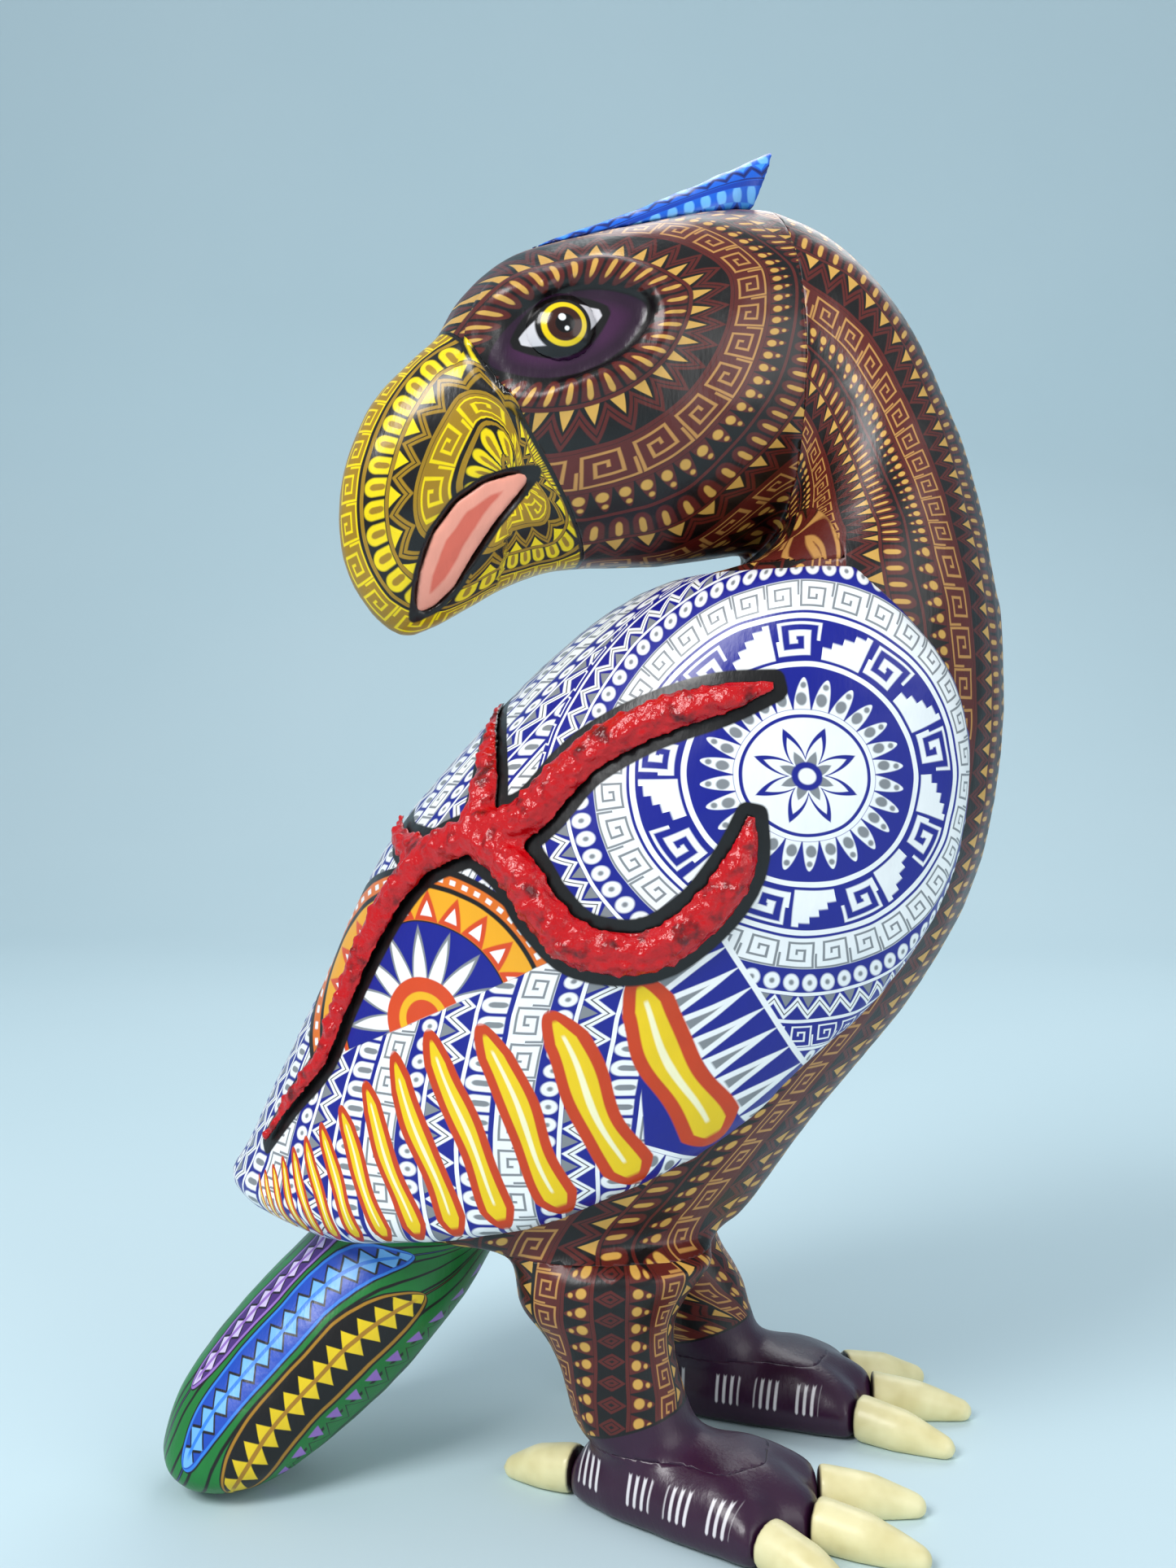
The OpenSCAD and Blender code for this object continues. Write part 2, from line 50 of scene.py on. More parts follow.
FORWARD = np.array([-math.cos(HEAD_TURN), -math.sin(HEAD_TURN)])
SIDE = np.array([math.sin(HEAD_TURN), -math.cos(HEAD_TURN)])
NECK_FACE = -30.0
BEAK_TOP = np.array([80.0, 377.0])
BEAK_FOOT = np.array([33.0, 302.0])
HIP = 82.0
ANKLE = 22.0
TAIL_FRONT = -23.0
SOCKET = np.array([46.0, 371.5])
SOCKET_HALF = 13.0
SOCKET_ROUND = 14.0
SOCKET_TILT = math.radians(22)
EYE = np.array([48.5, 373.5])
TOE_SPREAD = 20.5
# A toe is (degrees from the foot's own direction, length to its claw). A foot is (ankle, its direction).
TOES = ((TOE_SPREAD, 52.2), (0.0, 58.0), (-TOE_SPREAD, 56.3), (180.0, 22.0))
FEET = {"right": (np.array([20.0, -38.0]), -20.0), "left": (np.array([42.0, 38.0]), -3.0)}


def drawn(points):
    """Points of the frame, in metres, as drawn millimetres."""
    return np.asarray(points) / MM + MIDDLE


def placed(points):
    """Drawn millimetres as points of the frame, in metres."""
    return (np.asarray(points) - MIDDLE) * MM


def head_frame(p):
    """How far points lie ahead of the neck in the head's direction, their height, and how far to its side."""
    flat = p[:, :2] - NECK
    return flat @ FORWARD, p[:, 2], flat @ SIDE


# ---- Meshes ----
def points_of(mesh):
    co = np.empty(len(mesh.vertices) * 3)
    mesh.vertices.foreach_get("co", co)
    return co.reshape(-1, 3)


def normals_of(mesh):
    n = np.empty(len(mesh.vertices) * 3)
    mesh.vertices.foreach_get("normal", n)
    return n.reshape(-1, 3)


def move_points(mesh, points):
    mesh.vertices.foreach_set("co", np.asarray(points, float).ravel())
    mesh.update()


def write(mesh, name, values):
    """Keeps one number or one vector per vertex, for the material to read."""
    values = np.asarray(values, np.float32)
    kind, field = ("FLOAT", "value") if values.ndim == 1 else ("FLOAT_VECTOR", "vector")
    layer = mesh.attributes.new(name, kind, "POINT")
    layer.data.foreach_set(field, values.ravel())


def new_object(name, mesh):
    obj = bpy.data.objects.new(name, mesh)
    bpy.context.scene.collection.objects.link(obj)
    mesh.shade_smooth()
    return obj


def shell(*nodes):
    """One mesh of several CAD nodes."""
    bm = bmesh.new()
    for node in nodes:
        bm.from_mesh(NODES[node].data)
    mesh = bpy.data.meshes.new("shell")
    bm.to_mesh(mesh)
    bm.free()
    return mesh


def largest_island(mesh):
    """Leaves only the island with the most points: what else there is lies inside it."""
    edges = np.empty(len(mesh.edges) * 2, int)
    mesh.edges.foreach_get("vertices", edges)
    a, b = edges.reshape(-1, 2).T
    label = np.arange(len(mesh.vertices))
    while True:
        lower = np.minimum(label[a], label[b])
        new = label.copy()
        np.minimum.at(new, a, lower)
        np.minimum.at(new, b, lower)
        new = new[new]
        if (new == label).all():
            break
        label = new
    best = np.bincount(label).argmax()
    bm = bmesh.new()
    bm.from_mesh(mesh)
    bm.verts.ensure_lookup_table()
    bmesh.ops.delete(bm, geom=[bm.verts[int(k)] for k in np.nonzero(label != best)[0]], context="VERTS")
    bm.to_mesh(mesh)
    bm.free()
    return mesh


def remeshed(mesh, grain):
    """The same solid as even squares of that size, in metres."""
    obj = new_object("raw", mesh)
    modifier = obj.modifiers.new("even", "REMESH")
    modifier.mode = "VOXEL"
    modifier.voxel_size = grain
    made = bpy.data.meshes.new_from_object(obj.evaluated_get(bpy.context.evaluated_depsgraph_get()))
    bpy.data.objects.remove(obj)
    return made


def relax(mesh, rounds, share):
    """Draws each point towards its neighbours' middle by its share, that many times."""
    edges = np.empty(len(mesh.edges) * 2, int)
    mesh.edges.foreach_get("vertices", edges)
    a, b = edges.reshape(-1, 2).T
    p = points_of(mesh)
    count = len(p)
    degree = np.bincount(a, minlength=count) + np.bincount(b, minlength=count)
    share = np.broadcast_to(share, count)[:, None]
    for _ in range(rounds):
        total = np.stack(
            [np.bincount(a, p[b, k], count) + np.bincount(b, p[a, k], count) for k in range(3)], axis=1
        )
        p = p + share * (total / degree[:, None] - p)
    move_points(mesh, p)
    return mesh


def push(mesh, amount):
    """Moves each point along its normal by its amount, in millimetres."""
    move_points(mesh, points_of(mesh) + normals_of(mesh) * np.asarray(amount)[:, None] * MM)


NOISE_STRETCH = 1.6


def lumps(points, size, seed=0.0):
    """Smooth bumps from about -1 to 1, about that many millimetres across, and the same in every run."""
    offset = Vector((seed, seed, seed))
    return np.array([noise.noise(Vector(p) / size + offset) for p in points]) * NOISE_STRETCH


def bump_near(distance, height, spread):
    """A rounded bump of that height, which fades away over the spread."""
    return height * np.exp(-((distance / spread) ** 2))


def smooth_step(x, low, high):
    """Rises smoothly from 0 at low to 1 at high."""
    t = np.clip((x - low) / (high - low), 0, 1)
    return t * t * (3 - 2 * t)


def tilted(x, y):
    """A place on the head's side as distances along and across the tilted eye. Takes arrays and Num alike."""
    along = x * math.cos(SOCKET_TILT) - y * math.sin(SOCKET_TILT)
    across = x * math.sin(SOCKET_TILT) + y * math.cos(SOCKET_TILT)
    return along, across


def socket_distance(a, z):
    """Distance outside the almond eye socket in the plane of the head's side, below 0 inside it."""
    along, across = tilted(a - SOCKET[0], z - SOCKET[1])
    reach = along - np.clip(along, -SOCKET_HALF, SOCKET_HALF)
    return np.hypot(reach, across) - SOCKET_ROUND


def beyond_beak(a, z):
    """How far a point lies on the beak's side of the joint between head and beak."""
    d = BEAK_TOP - BEAK_FOOT
    return ((a - BEAK_FOOT[0]) * d[1] - (z - BEAK_FOOT[1]) * d[0]) / np.hypot(*d)


# ---- Flattening: distances over a rounded surface for the painted rows ----
BIN = 6.0
FEWEST_IN_BIN = 3


def section_table(along, depth, side):
    """Middle, half depth and half width of a rounded bar, at steps along it."""
    steps = np.arange(along.min(), along.max() + BIN, BIN)
    rows = []
    for s in steps:
        near = np.abs(along - s) < BIN * 0.6
        if near.sum() > FEWEST_IN_BIN:
            top, bottom, width = depth[near].max(), depth[near].min(), np.abs(side[near]).max()
            rows.append((s, (top + bottom) / 2, max((top - bottom) / 2, 1), max(width, 1)))
    return np.array(rows).T


def section_at(table, along):
    """The section at places along the bar, as a running mean of five steps of the table."""
    steps, middle, half, width = table
    even = np.ones(5) / 5

    def read(values):
        padded = np.concatenate([values[:1]] * 2 + [values] + [values[-1:]] * 2)
        return np.interp(along, steps, np.convolve(padded, even, "valid"))

    return read(middle), read(half), read(width)


def round_it(table, along, depth, side):
    """How far round the bar each point lies from its outer ridge, in millimetres."""
    middle, half, width = section_at(table, along)
    return np.arctan2(np.abs(side) / width, (depth - middle) / half) * (half + width) / 2


def flatten(mesh, along, depth, side, extra=None):
    """Writes the flat coordinates of a piece: across from its ridge, along it, and one more value."""
    across = round_it(section_table(along, depth, side), along, depth, side)
    extra = np.zeros(len(along)) if extra is None else extra
    write(mesh, "flat", np.stack([across, along, extra], axis=1))


# ---- The carving: all its blocks as one blended solid, then cut into its pieces ----
GRAIN = 1.7
EYE_ZONE = 9.0
EYE_ZONE_FOOT = 320.0
HIP_BLEND = 14.0
ANKLE_BLEND = 8.0
BROW_FOOT = 330.0
BROW_OUT = 3.0
BROW_RISE = 1.8
BROW_SPREAD = 3.6
HEAD_CORE = 22.0
KNOB = np.array([68.0, 388.0, 33.0])  # ahead of the neck, height, to the side
KNOB_RISE = 4.5
KNOB_SPREAD = 13.0


def carve():
    """The whole carving as one fine smooth mesh, with a brow round each socket and a knob over the beak."""
    parts = ["body", "head", "beak", "leg_right", "leg_left", "foot_right", "foot_left", "tail"]
    mesh = largest_island(remeshed(shell(*parts), GRAIN * MM))
    p = drawn(points_of(mesh))
    a, z, side = head_frame(p)
    d = socket_distance(a, z)
    eye_zone = (d < EYE_ZONE) & (a > 0) & (z > EYE_ZONE_FOOT)
    hips = bump_near(p[:, 2] - HIP, 1, HIP_BLEND)
    ankles = bump_near(p[:, 2] - ANKLE, 1, ANKLE_BLEND)
    relax(mesh, rounds=12, share=np.where(eye_zone, 0.12, 0.5))
    relax(mesh, rounds=70, share=0.5 * np.maximum(hips, ankles * 0.8))
    p = drawn(points_of(mesh))
    a, z, side = head_frame(p)
    d = socket_distance(a, z)
    on_side = (a > 5) & (z > BROW_FOOT) & (np.abs(side) > HEAD_CORE)
    brow = bump_near(d - BROW_OUT, BROW_RISE, BROW_SPREAD) * on_side * smooth_step(d, -1.5, 1.5)
    from_knob = np.linalg.norm(np.stack([a, z, np.abs(side)], axis=1) - KNOB, axis=1)
    knob = bump_near(from_knob, KNOB_RISE, KNOB_SPREAD)
    push(mesh, brow + knob + 0.35 * lumps(p, 22) + 0.12 * lumps(p, 7, 5.0))
    return mesh


THROAT = 300.5
BEAK_BACK = 40.0
BEAK_TIP = 275.0


def labels(p):
    """Which piece of the carving a place belongs to."""
    a, z, _ = head_frame(p)
    upper = (a > NECK_FACE) & ((z > THROAT) | (a > BEAK_BACK)) & (z > BEAK_TIP)
    beak = upper & (beyond_beak(a, z) > 0)
    low = z < HIP
    tail = low & (p[:, 0] < TAIL_FRONT)
    foot = low & ~tail & (z < ANKLE)
    right = p[:, 1] < 0
    names = np.full(len(p), "body", dtype="U12")
    names[upper] = "head"
    names[beak] = "beak"
    names[low & right] = "leg_right"
    names[low & ~right] = "leg_left"
    names[foot & right] = "foot_right"
    names[foot & ~right] = "foot_left"
    names[tail] = "tail"
    return names


def cut_pieces(mesh):
    """Cuts the carving along its joints and returns {name: closed mesh}."""
    bm = bmesh.new()
    bm.from_mesh(mesh)
    beak_normal = np.array([BEAK_TOP[1] - BEAK_FOOT[1], BEAK_FOOT[0] - BEAK_TOP[0]])
    face_at = NECK + FORWARD * NECK_FACE
    foot_at = NECK + FORWARD * BEAK_FOOT[0]
    planes = [
        ((*face_at, 0), (*FORWARD, 0)),
        ((*foot_at, BEAK_FOOT[1]), (*(FORWARD * beak_normal[0]), beak_normal[1])),
        ((0, 0, HIP), (0, 0, 1)),
        ((0, 0, ANKLE), (0, 0, 1)),
    ]
    for where, normal in planes:
        everything = bm.verts[:] + bm.edges[:] + bm.faces[:]
        normal = Vector(normal).normalized()
        bmesh.ops.bisect_plane(bm, geom=everything, plane_co=placed(where), plane_no=normal)
    names = labels(drawn([f.calc_center_median()[:] for f in bm.faces]))
    bm.faces.ensure_lookup_table()
    made = {}
    for name in sorted(set(names)):
        part = bm.copy()
        part.faces.ensure_lookup_table()
        others = [part.faces[int(k)] for k in np.nonzero(names != name)[0]]
        bmesh.ops.delete(part, geom=others, context="FACES")
        rim = [e for e in part.edges if e.is_boundary]
        bmesh.ops.holes_fill(part, edges=rim, sides=0)
        made[name] = bpy.data.meshes.new(name)
        part.to_mesh(made[name])
        part.free()
    bm.free()
    return made


BODY_BEND = np.array([55.0, 305.0])
BODY_REACH = 95.0
LEVEL_END = 60.0
BEAK_BEND = np.array([62.0, 327.0])
BEAK_REACH = 50.0
BEAK_RULE = 1.2
LEG_MIDDLE = 12.0
FOOT_PAINT_TOP = 30.6
FOOT_PAINT_SLOPE = 0.3
TAIL_TOP = -57.0
TAIL_SLOPE = math.radians(42)
TAIL_LENGTH = 100.0
TAIL_LEAN = -34.0


def flatten_body(mesh):
    """The rows run round the neck's bend, and straight down below the bend's centre."""
    p = drawn(points_of(mesh))
    dx, dz = (p[:, [0, 2]] - BODY_BEND).T
    depth = np.where(dz > 0, np.hypot(dx, dz), dx)
    along = np.where(dz > 0, np.arctan2(dz, dx) * BODY_REACH, dz)
    flatten(mesh, along, depth, p[:, 1])


def flatten_head(mesh):
    """Flat places beside each socket, with the section's roundness unrolled upwards and downwards."""
    a, z, side = head_frame(drawn(points_of(mesh)))
    middle, half, width = section_at(section_table(a, z, side), a)
    angle = np.arctan2((z - middle) / half, np.abs(side) / width)
    unrolled = middle + angle * (half + width) / 2
    level = smooth_step(np.abs(z - SOCKET[1]), SOCKET_ROUND, LEVEL_END)
    write(mesh, "flat", np.stack([a, z + (unrolled - z) * level, np.abs(side)], axis=1))
    write(mesh, "socket", np.stack([a, z, np.abs(side)], axis=1))


def flatten_beak(mesh):
    """The rows run round the beak's bend. The third value is the distance from the mouth or the head."""
    a, z, side = head_frame(drawn(points_of(mesh)))
    dx, dz = a - BEAK_BEND[0], z - BEAK_BEND[1]
    edge = np.minimum(gap_to("tongue", mesh), gap_to("head", mesh) + BEAK_RULE)
    flatten(mesh, np.arctan2(dx, dz) * BEAK_REACH, np.hypot(dx, dz), side, edge)


def flatten_leg(mesh, side):
    """The ridge is the outer side. The third value is the height above the foot's paint."""
    ankle, _ = FEET[side]
    x, y, z = drawn(points_of(mesh)).T
    paint_top = FOOT_PAINT_TOP + FOOT_PAINT_SLOPE * (x - ankle[0])
    flatten(mesh, z, np.abs(y), x - LEG_MIDDLE, z - paint_top)


def flatten_tail(mesh):
    """The rows run down the slope of the tail, which leans sideways."""
    x, y, z = drawn(points_of(mesh)).T
    back, down = TAIL_TOP - x, HIP - z
    along = back * math.cos(TAIL_SLOPE) + down * math.sin(TAIL_SLOPE)
    depth = back * math.sin(TAIL_SLOPE) - down * math.cos(TAIL_SLOPE)
    lean = np.interp(along, [0, TAIL_LENGTH], [0, TAIL_LEAN])
    flatten(mesh, along, depth, y - lean)


# ---- Wings and reliefs ----
WING_T = 8.0
EDGE_STEP = 5.0
EDGE_REACH = 3.5
EDGE_INSET = 3.0
FARTHEST_GAP = 30.0
PUTTY_GRAIN = 0.9
PUTTY_SHRINK = 0.9
THORN_SPACING = 4.2
THORN_RISE = 2.6
THORN_SHARE = 0.55


def body_sections(foot=84.0, top=297.0, reach=9.0):
    """Middle, half depth and half width of the body block at each height."""
    p = drawn(points_of(NODES["body"].data))
    low = p[:, 2] < top
    rows = []
    for h in np.arange(foot, top, BIN):
        x, y, _ = p[low & (np.abs(p[:, 2] - h) < reach)].T
        rows.append((h, (x.max() + x.min()) / 2, np.ptp(x) / 2, np.abs(y).max()))
    return np.array(rows).T


SECTIONS = body_sections()


def wing_flat(x, z, y=None):
    """Unrolled place, along the wing's surface, of a point seen from the side, or of a point in space."""
    middle, half, width = section_at(SECTIONS, np.asarray(z, float))
    if y is None:
        angle = np.arccos(np.clip((x - middle) / (half + WING_T), -1, 1))
    else:
        angle = np.arctan2(np.abs(y) / (width + WING_T), (x - middle) / (half + WING_T))
    return middle + (math.pi / 2 - angle) * ((half + width) / 2 + WING_T)


def lower_edge(mesh):
    """The wing's lower edge as a table: x, and the lowest z there."""
    p = drawn(points_of(mesh))
    xs = np.arange(p[:, 0].min() + EDGE_INSET, p[:, 0].max(), EDGE_STEP)
    zs = [p[np.abs(p[:, 0] - x) < EDGE_REACH][:, 2].min() for x in xs]
    return xs, np.array(zs)


def wing(side):
    """A wing panel with flat coordinates and the distances its paint needs."""
    mesh = relax(remeshed(shell("wing_" + side), GRAIN * MM), rounds=8, share=0.5)
    p = drawn(points_of(mesh))
    push(mesh, 0.2 * lumps(p, 18) + 0.1 * lumps(p, 6, 3.0))
    p = drawn(points_of(mesh))
    xs, zs = lower_edge(mesh)
    rim = p[:, 2] - np.interp(p[:, 0], xs, zs)
    flat = wing_flat(p[:, 0], p[:, 2], p[:, 1])
    middle, half, width = section_at(SECTIONS, p[:, 2])
    dorsal = (flat - middle) + math.pi / 2 * ((half + width) / 2 + WING_T)
    write(mesh, "flat", np.stack([flat, p[:, 2], p[:, 0]], axis=1))
    near = np.minimum(gap_to("relief_" + side, mesh), FARTHEST_GAP)
    write(mesh, "edges", np.stack([rim, near, dorsal], axis=1))
    return new_object("wing_" + side + "_panel", mesh)


def relief(side):
    """The modelled red putty, lumpy and pitted."""
    mesh = relax(remeshed(shell("relief_" + side), PUTTY_GRAIN * MM), rounds=4, share=0.5)
    p = drawn(points_of(mesh))
    rise = gap_to("wing_" + side, mesh)
    spread = smooth_step(rise, 0.2, 2.5)
    cell = np.array([noise.voronoi(Vector(q) / THORN_SPACING)[0][0] for q in p])
    thorns = THORN_RISE * np.maximum(THORN_SHARE - cell, 0)
    push(mesh, spread * (thorns - PUTTY_SHRINK + 0.5 * lumps(p, 9, 1.0) + 0.3 * lumps(p, 3.5, 2.0)))
    write(mesh, "rise", rise)
    return new_object("relief_" + side + "_putty", mesh)


def gap_to(node, mesh):
    """Distance of each point of a mesh from a CAD node, in millimetres."""
    data = NODES[node].data
    tree = BVHTree.FromPolygons([v.co for v in data.vertices], [f.vertices[:] for f in data.polygons])
    return np.array([tree.find_nearest(Vector(q))[3] for q in points_of(mesh)]) / MM


def fine(name, node, grain, rounds, lump=0.0):
    """A node as a fine smooth mesh, with lumps of that height where they are asked for."""
    mesh = relax(remeshed(shell(node), grain * MM), rounds, 0.5)
    if lump:
        push(mesh, lump * lumps(drawn(points_of(mesh)), 8))
    return new_object(name, mesh)


# ---- Numbers and colours inside a material ----
class Canvas:
    """The material that is being painted."""

    tree = None


class Num:
    """A number in the material: each sum or comparison becomes a node."""

    def __init__(self, socket):
        self.socket = socket

    def __add__(self, other):
        return calc("ADD", self, other)

    __radd__ = __add__

    def __sub__(self, other):
        return calc("SUBTRACT", self, other)

    def __rsub__(self, other):
        return calc("SUBTRACT", other, self)

    def __mul__(self, other):
        return calc("MULTIPLY", self, other)

    def __truediv__(self, other):
        return calc("DIVIDE", self, other)

    def __abs__(self):
        return calc("ABSOLUTE", self)

    def __neg__(self):
        return calc("MULTIPLY", self, -1.0)


def calc(operation, *values, clamp=False):
    """One sum in the material. The values are plain numbers or Num."""
    node = Canvas.tree.nodes.new("ShaderNodeMath")
    node.operation = operation
    node.use_clamp = clamp
    for slot, value in zip(node.inputs, values):
        plug(slot, value)
    return Num(node.outputs[0])


def plug(slot, value):
    if isinstance(value, Num):
        Canvas.tree.links.new(value.socket, slot)
    else:
        slot.default_value = value


def lowest(a, b):
    return calc("MINIMUM", a, b)


def highest(a, b):
    return calc("MAXIMUM", a, b)


def whole(x):
    return calc("FLOOR", x)


def part_of(x):
    return calc("FRACT", x)


def wave(x):
    """0 at whole numbers and 1 half-way between them."""
    return calc("PINGPONG", x, 0.5) * 2.0


def length(x, y):
    return calc("SQRT", calc("MULTIPLY_ADD", x, x, y * y))


def ink(d, soft=0.08):
    """1 where d is below 0, with an edge of that softness."""
    return calc("MULTIPLY_ADD", d, -1.0 / soft, 0.5, clamp=True)


def band(x, low, high, soft=0.08):
    """1 where x lies between low and high."""
    return ink(abs(x - (low + high) / 2) - (high - low) / 2, soft)


def turn_of(x, y):
    """The angle of a place round its centre, as a share of a full turn."""
    return calc("ARCTAN2", y, x) / (2 * math.pi) + 0.5


def rgb(code):
    """A written colour as the linear values that a material takes."""
    parts = [int(code[k : k + 2], 16) / 255 for k in (1, 3, 5)]
    return tuple((c / 12.92 if c <= 0.04045 else ((c + 0.055) / 1.055) ** 2.4) for c in parts) + (1.0,)


def over(under, colour, mask):
    """A colour laid over another one where the mask is 1. Each is a written colour or a Num."""
    node = Canvas.tree.nodes.new("ShaderNodeMix")
    node.data_type = "RGBA"
    plug(node.inputs[0], mask)
    for slot, value in ((node.inputs[6], under), (node.inputs[7], colour)):
        plug(slot, rgb(value) if isinstance(value, str) else value)
    return Num(node.outputs[2])


def layer(name):
    """The three numbers of a vertex layer."""
    node = Canvas.tree.nodes.new("ShaderNodeAttribute")
    node.attribute_name = name
    split = Canvas.tree.nodes.new("ShaderNodeSeparateXYZ")
    Canvas.tree.links.new(node.outputs["Vector"], split.inputs[0])
    return [Num(split.outputs[k]) for k in range(3)]


def value_layer(name):
    """The one number of a vertex layer."""
    node = Canvas.tree.nodes.new("ShaderNodeAttribute")
    node.attribute_name = name
    return Num(node.outputs["Fac"])


def noise_at(scale, detail=2.0, stretch=(1.0, 1.0, 1.0), colour=False):
    """Chance numbers round 0.5 in space. The scale is in bumps per metre."""
    place = Canvas.tree.nodes.new("ShaderNodeTexCoord")
    mapping = Canvas.tree.nodes.new("ShaderNodeMapping")
    mapping.inputs["Scale"].default_value = stretch
    node = Canvas.tree.nodes.new("ShaderNodeTexNoise")
    node.inputs["Scale"].default_value = scale
    node.inputs["Detail"].default_value = detail
    Canvas.tree.links.new(place.outputs["Object"], mapping.inputs["Vector"])
    Canvas.tree.links.new(mapping.outputs["Vector"], node.inputs["Vector"])
    if colour:
        split = Canvas.tree.nodes.new("ShaderNodeSeparateXYZ")
        Canvas.tree.links.new(node.outputs["Color"], split.inputs[0])
        return [Num(split.outputs[k]) for k in range(3)]
    return Num(node.outputs["Fac"])


def start(name):
    """A new material, which the sums that follow are part of."""
    material = bpy.data.materials.new(name)
    material.use_nodes = True
    Canvas.tree = material.node_tree
    return material


ROUGHNESS_RANGE = 0.22


def varnish(material, colour, roughness, strength, height=None, mottle=0.16):
    """Finishes a material: brushed variation of the colour, satin gloss that varies, and a bump."""
    shader = material.node_tree.nodes["Principled BSDF"]
    brushed = noise_at(140.0, 3.0, (1.0, 1.0, 0.35))
    shade = Canvas.tree.nodes.new("ShaderNodeHueSaturation")
    plug(shade.inputs["Color"], colour)
    plug(shade.inputs["Value"], calc("MULTIPLY_ADD", brushed, mottle * 2, 1.0 - mottle))
    Canvas.tree.links.new(shade.outputs["Color"], shader.inputs["Base Color"])
    worn = noise_at(60.0, 4.0)
    plug(shader.inputs["Roughness"], (worn - 0.5) * ROUGHNESS_RANGE + roughness)
    bump = Canvas.tree.nodes.new("ShaderNodeBump")
    bump.inputs["Strength"].default_value = strength
    bump.inputs["Distance"].default_value = MM
    plug(bump.inputs["Height"], height or brushwork())
    Canvas.tree.links.new(bump.outputs["Normal"], shader.inputs["Normal"])
    return material


def brushwork():
    """Height of brush strokes over faint carved grain."""
    return noise_at(900.0, 2.0, (1.0, 1.0, 0.3)) * 0.35 + noise_at(90.0, 3.0) * 0.9


def unsteady(across, along, reach=0.9):
    """The two coordinates with the small waver of a line drawn by hand."""
    sway = noise_at(55.0, 1.0, colour=True)
    return across + (sway[0] - 0.5) * reach * 2, along + (sway[1] - 0.5) * reach * 2


def painted(name, reach=0.9):
    """A new material, its piece's unsteady coordinates across and along, and the third value."""
    material = start(name)
    across, along, third = layer("flat")
    return material, *unsteady(across, along, reach), third


# ---- Colours ----
BLACK = "#0b0707"
EARTH = "#5a1a14"
TAN = "#bd8848"
GOLD = "#d2a14c"
OCHRE = "#a37c16"
YELLOW = "#f7d800"
BLUE = "#08158a"
WHITE = "#f6f6f6"
GREY = "#85888c"
AUBERGINE = "#331430"
DARK_AUBERGINE = "#0d060c"
PLUM = "#41193f"
SHADED_PLUM = "#2a0f29"
EYE_PLUM = "#351634"
EYE_WHITE = "#d9d3d6"
IRIS = "#f2cf0c"
IRIS_RING = "#3a160c"
PUPIL = "#080505"
GLINT = "#ffffff"
CHALK = "#e6e0e4"
CREAM = "#efe6b4"
DARK_CREAM = "#d9cc92"
CLAW_ROOT = "#2a1d1c"
GREEN = "#12762f"
LILAC = "#9a6fc4"
PALE_LILAC = "#d8c8ee"
VIOLET = "#4b2a78"
TAIL_BLUE = "#0f47b5"
TAIL_SKY = "#6fb4f2"
TAIL_EDGE = "#2f7fe0"
TAIL_YELLOW = "#e9c81a"
TAIL_GOLD = "#a8791f"
CREST_BLUE = "#0f62d8"
CREST_NAVY = "#0a2f8a"
CREST_RULE = "#0b3fae"
CREST_DASH = "#6fb8f7"
CREST_TOOTH = "#3c95ee"
SALMON = "#e06a55"
PALE_SALMON = "#f3a08a"
RED = "#c4030e"
DARK_RED = "#66040a"
WOOD = "#b98f5e"
DARK_WOOD = "#8f6a3f"
ORANGE = "#e2701a"
DEEP_ORANGE = "#d8481a"
AMBER = "#f0a81c"
SUN_RING = "#f0b41c"
FLAME_EDGE = "#c93c08"
FLAME_YELLOW = "#f0ca06"
FLAME_CORE = "#fbf3c8"
ROOM = "#c2d9e1"
ROOM_CLOUD = "#d6e4ea"


# ---- Motifs. u counts repeats along a row, v runs from 0 to 1 across it, and inside masks the row ----
SPIRAL_PITCH = 0.46
SPIRAL_LINE = 0.3
STEPS_PITCH = 0.56
STAIRS = 5


def greca(colour, u, v, inside, line, ground):
    """Square spirals on a band: square rings whose lower half is set over by half a pitch."""
    x = part_of(u) * 2.0 - 1.0
    y = v * 2.0 - 1.0
    low = calc("LESS_THAN", y, 0.0)
    r = highest(abs(x - low * (SPIRAL_PITCH / 2)), abs(y))
    t = r / SPIRAL_PITCH + low * 0.5
    colour = over(colour, ground, inside)
    return over(colour, line, ink(wave(t) - SPIRAL_LINE, 0.2) * inside * ink(r - 0.98, 0.06))


def petals(colour, u, v, inside, fill, heart):
    """Upright petals, round at the inner end, each with a long spot inside."""
    x = part_of(u) - 0.5
    d = length(x, highest(0.42 - v, 0.0)) - 0.41
    colour = over(colour, fill, ink(d, 0.08) * inside * ink(v - 0.97, 0.05))
    spot = length(x * 1.5, highest(abs(v - 0.6) - 0.14, 0.0)) - 0.22
    return over(colour, heart, ink(spot, 0.08) * inside)


def teeth(colour, u, v, inside, fill, heart):
    """Pointed leaves, each with a large dot and a small one."""
    x = part_of(u) - 0.5
    d = abs(x + v * 0.12) - calc("POWER", highest(1.0 - v, 0.0), 0.6) * 0.46
    colour = over(colour, fill, ink(d, 0.06) * inside)
    dots = lowest(length(x, v * 1.3 - 0.42) - 0.27, length(x + 0.1, v * 1.3 - 0.98) - 0.13)
    return over(colour, heart, ink(dots, 0.08) * inside)


def zigzag(colour, u, v, inside, line, triangle):
    """A thick zigzag with a fine line in it, and small triangles between its feet."""
    peak = wave(u)
    d = abs(v - peak * 0.62 - 0.2) - 0.2
    colour = over(colour, line, ink(d, 0.06) * inside)
    colour = over(colour, BLACK, ink(d + 0.17, 0.04) * inside)
    return over(colour, triangle, ink(v - (peak - 0.42) * 0.85, 0.06) * inside)


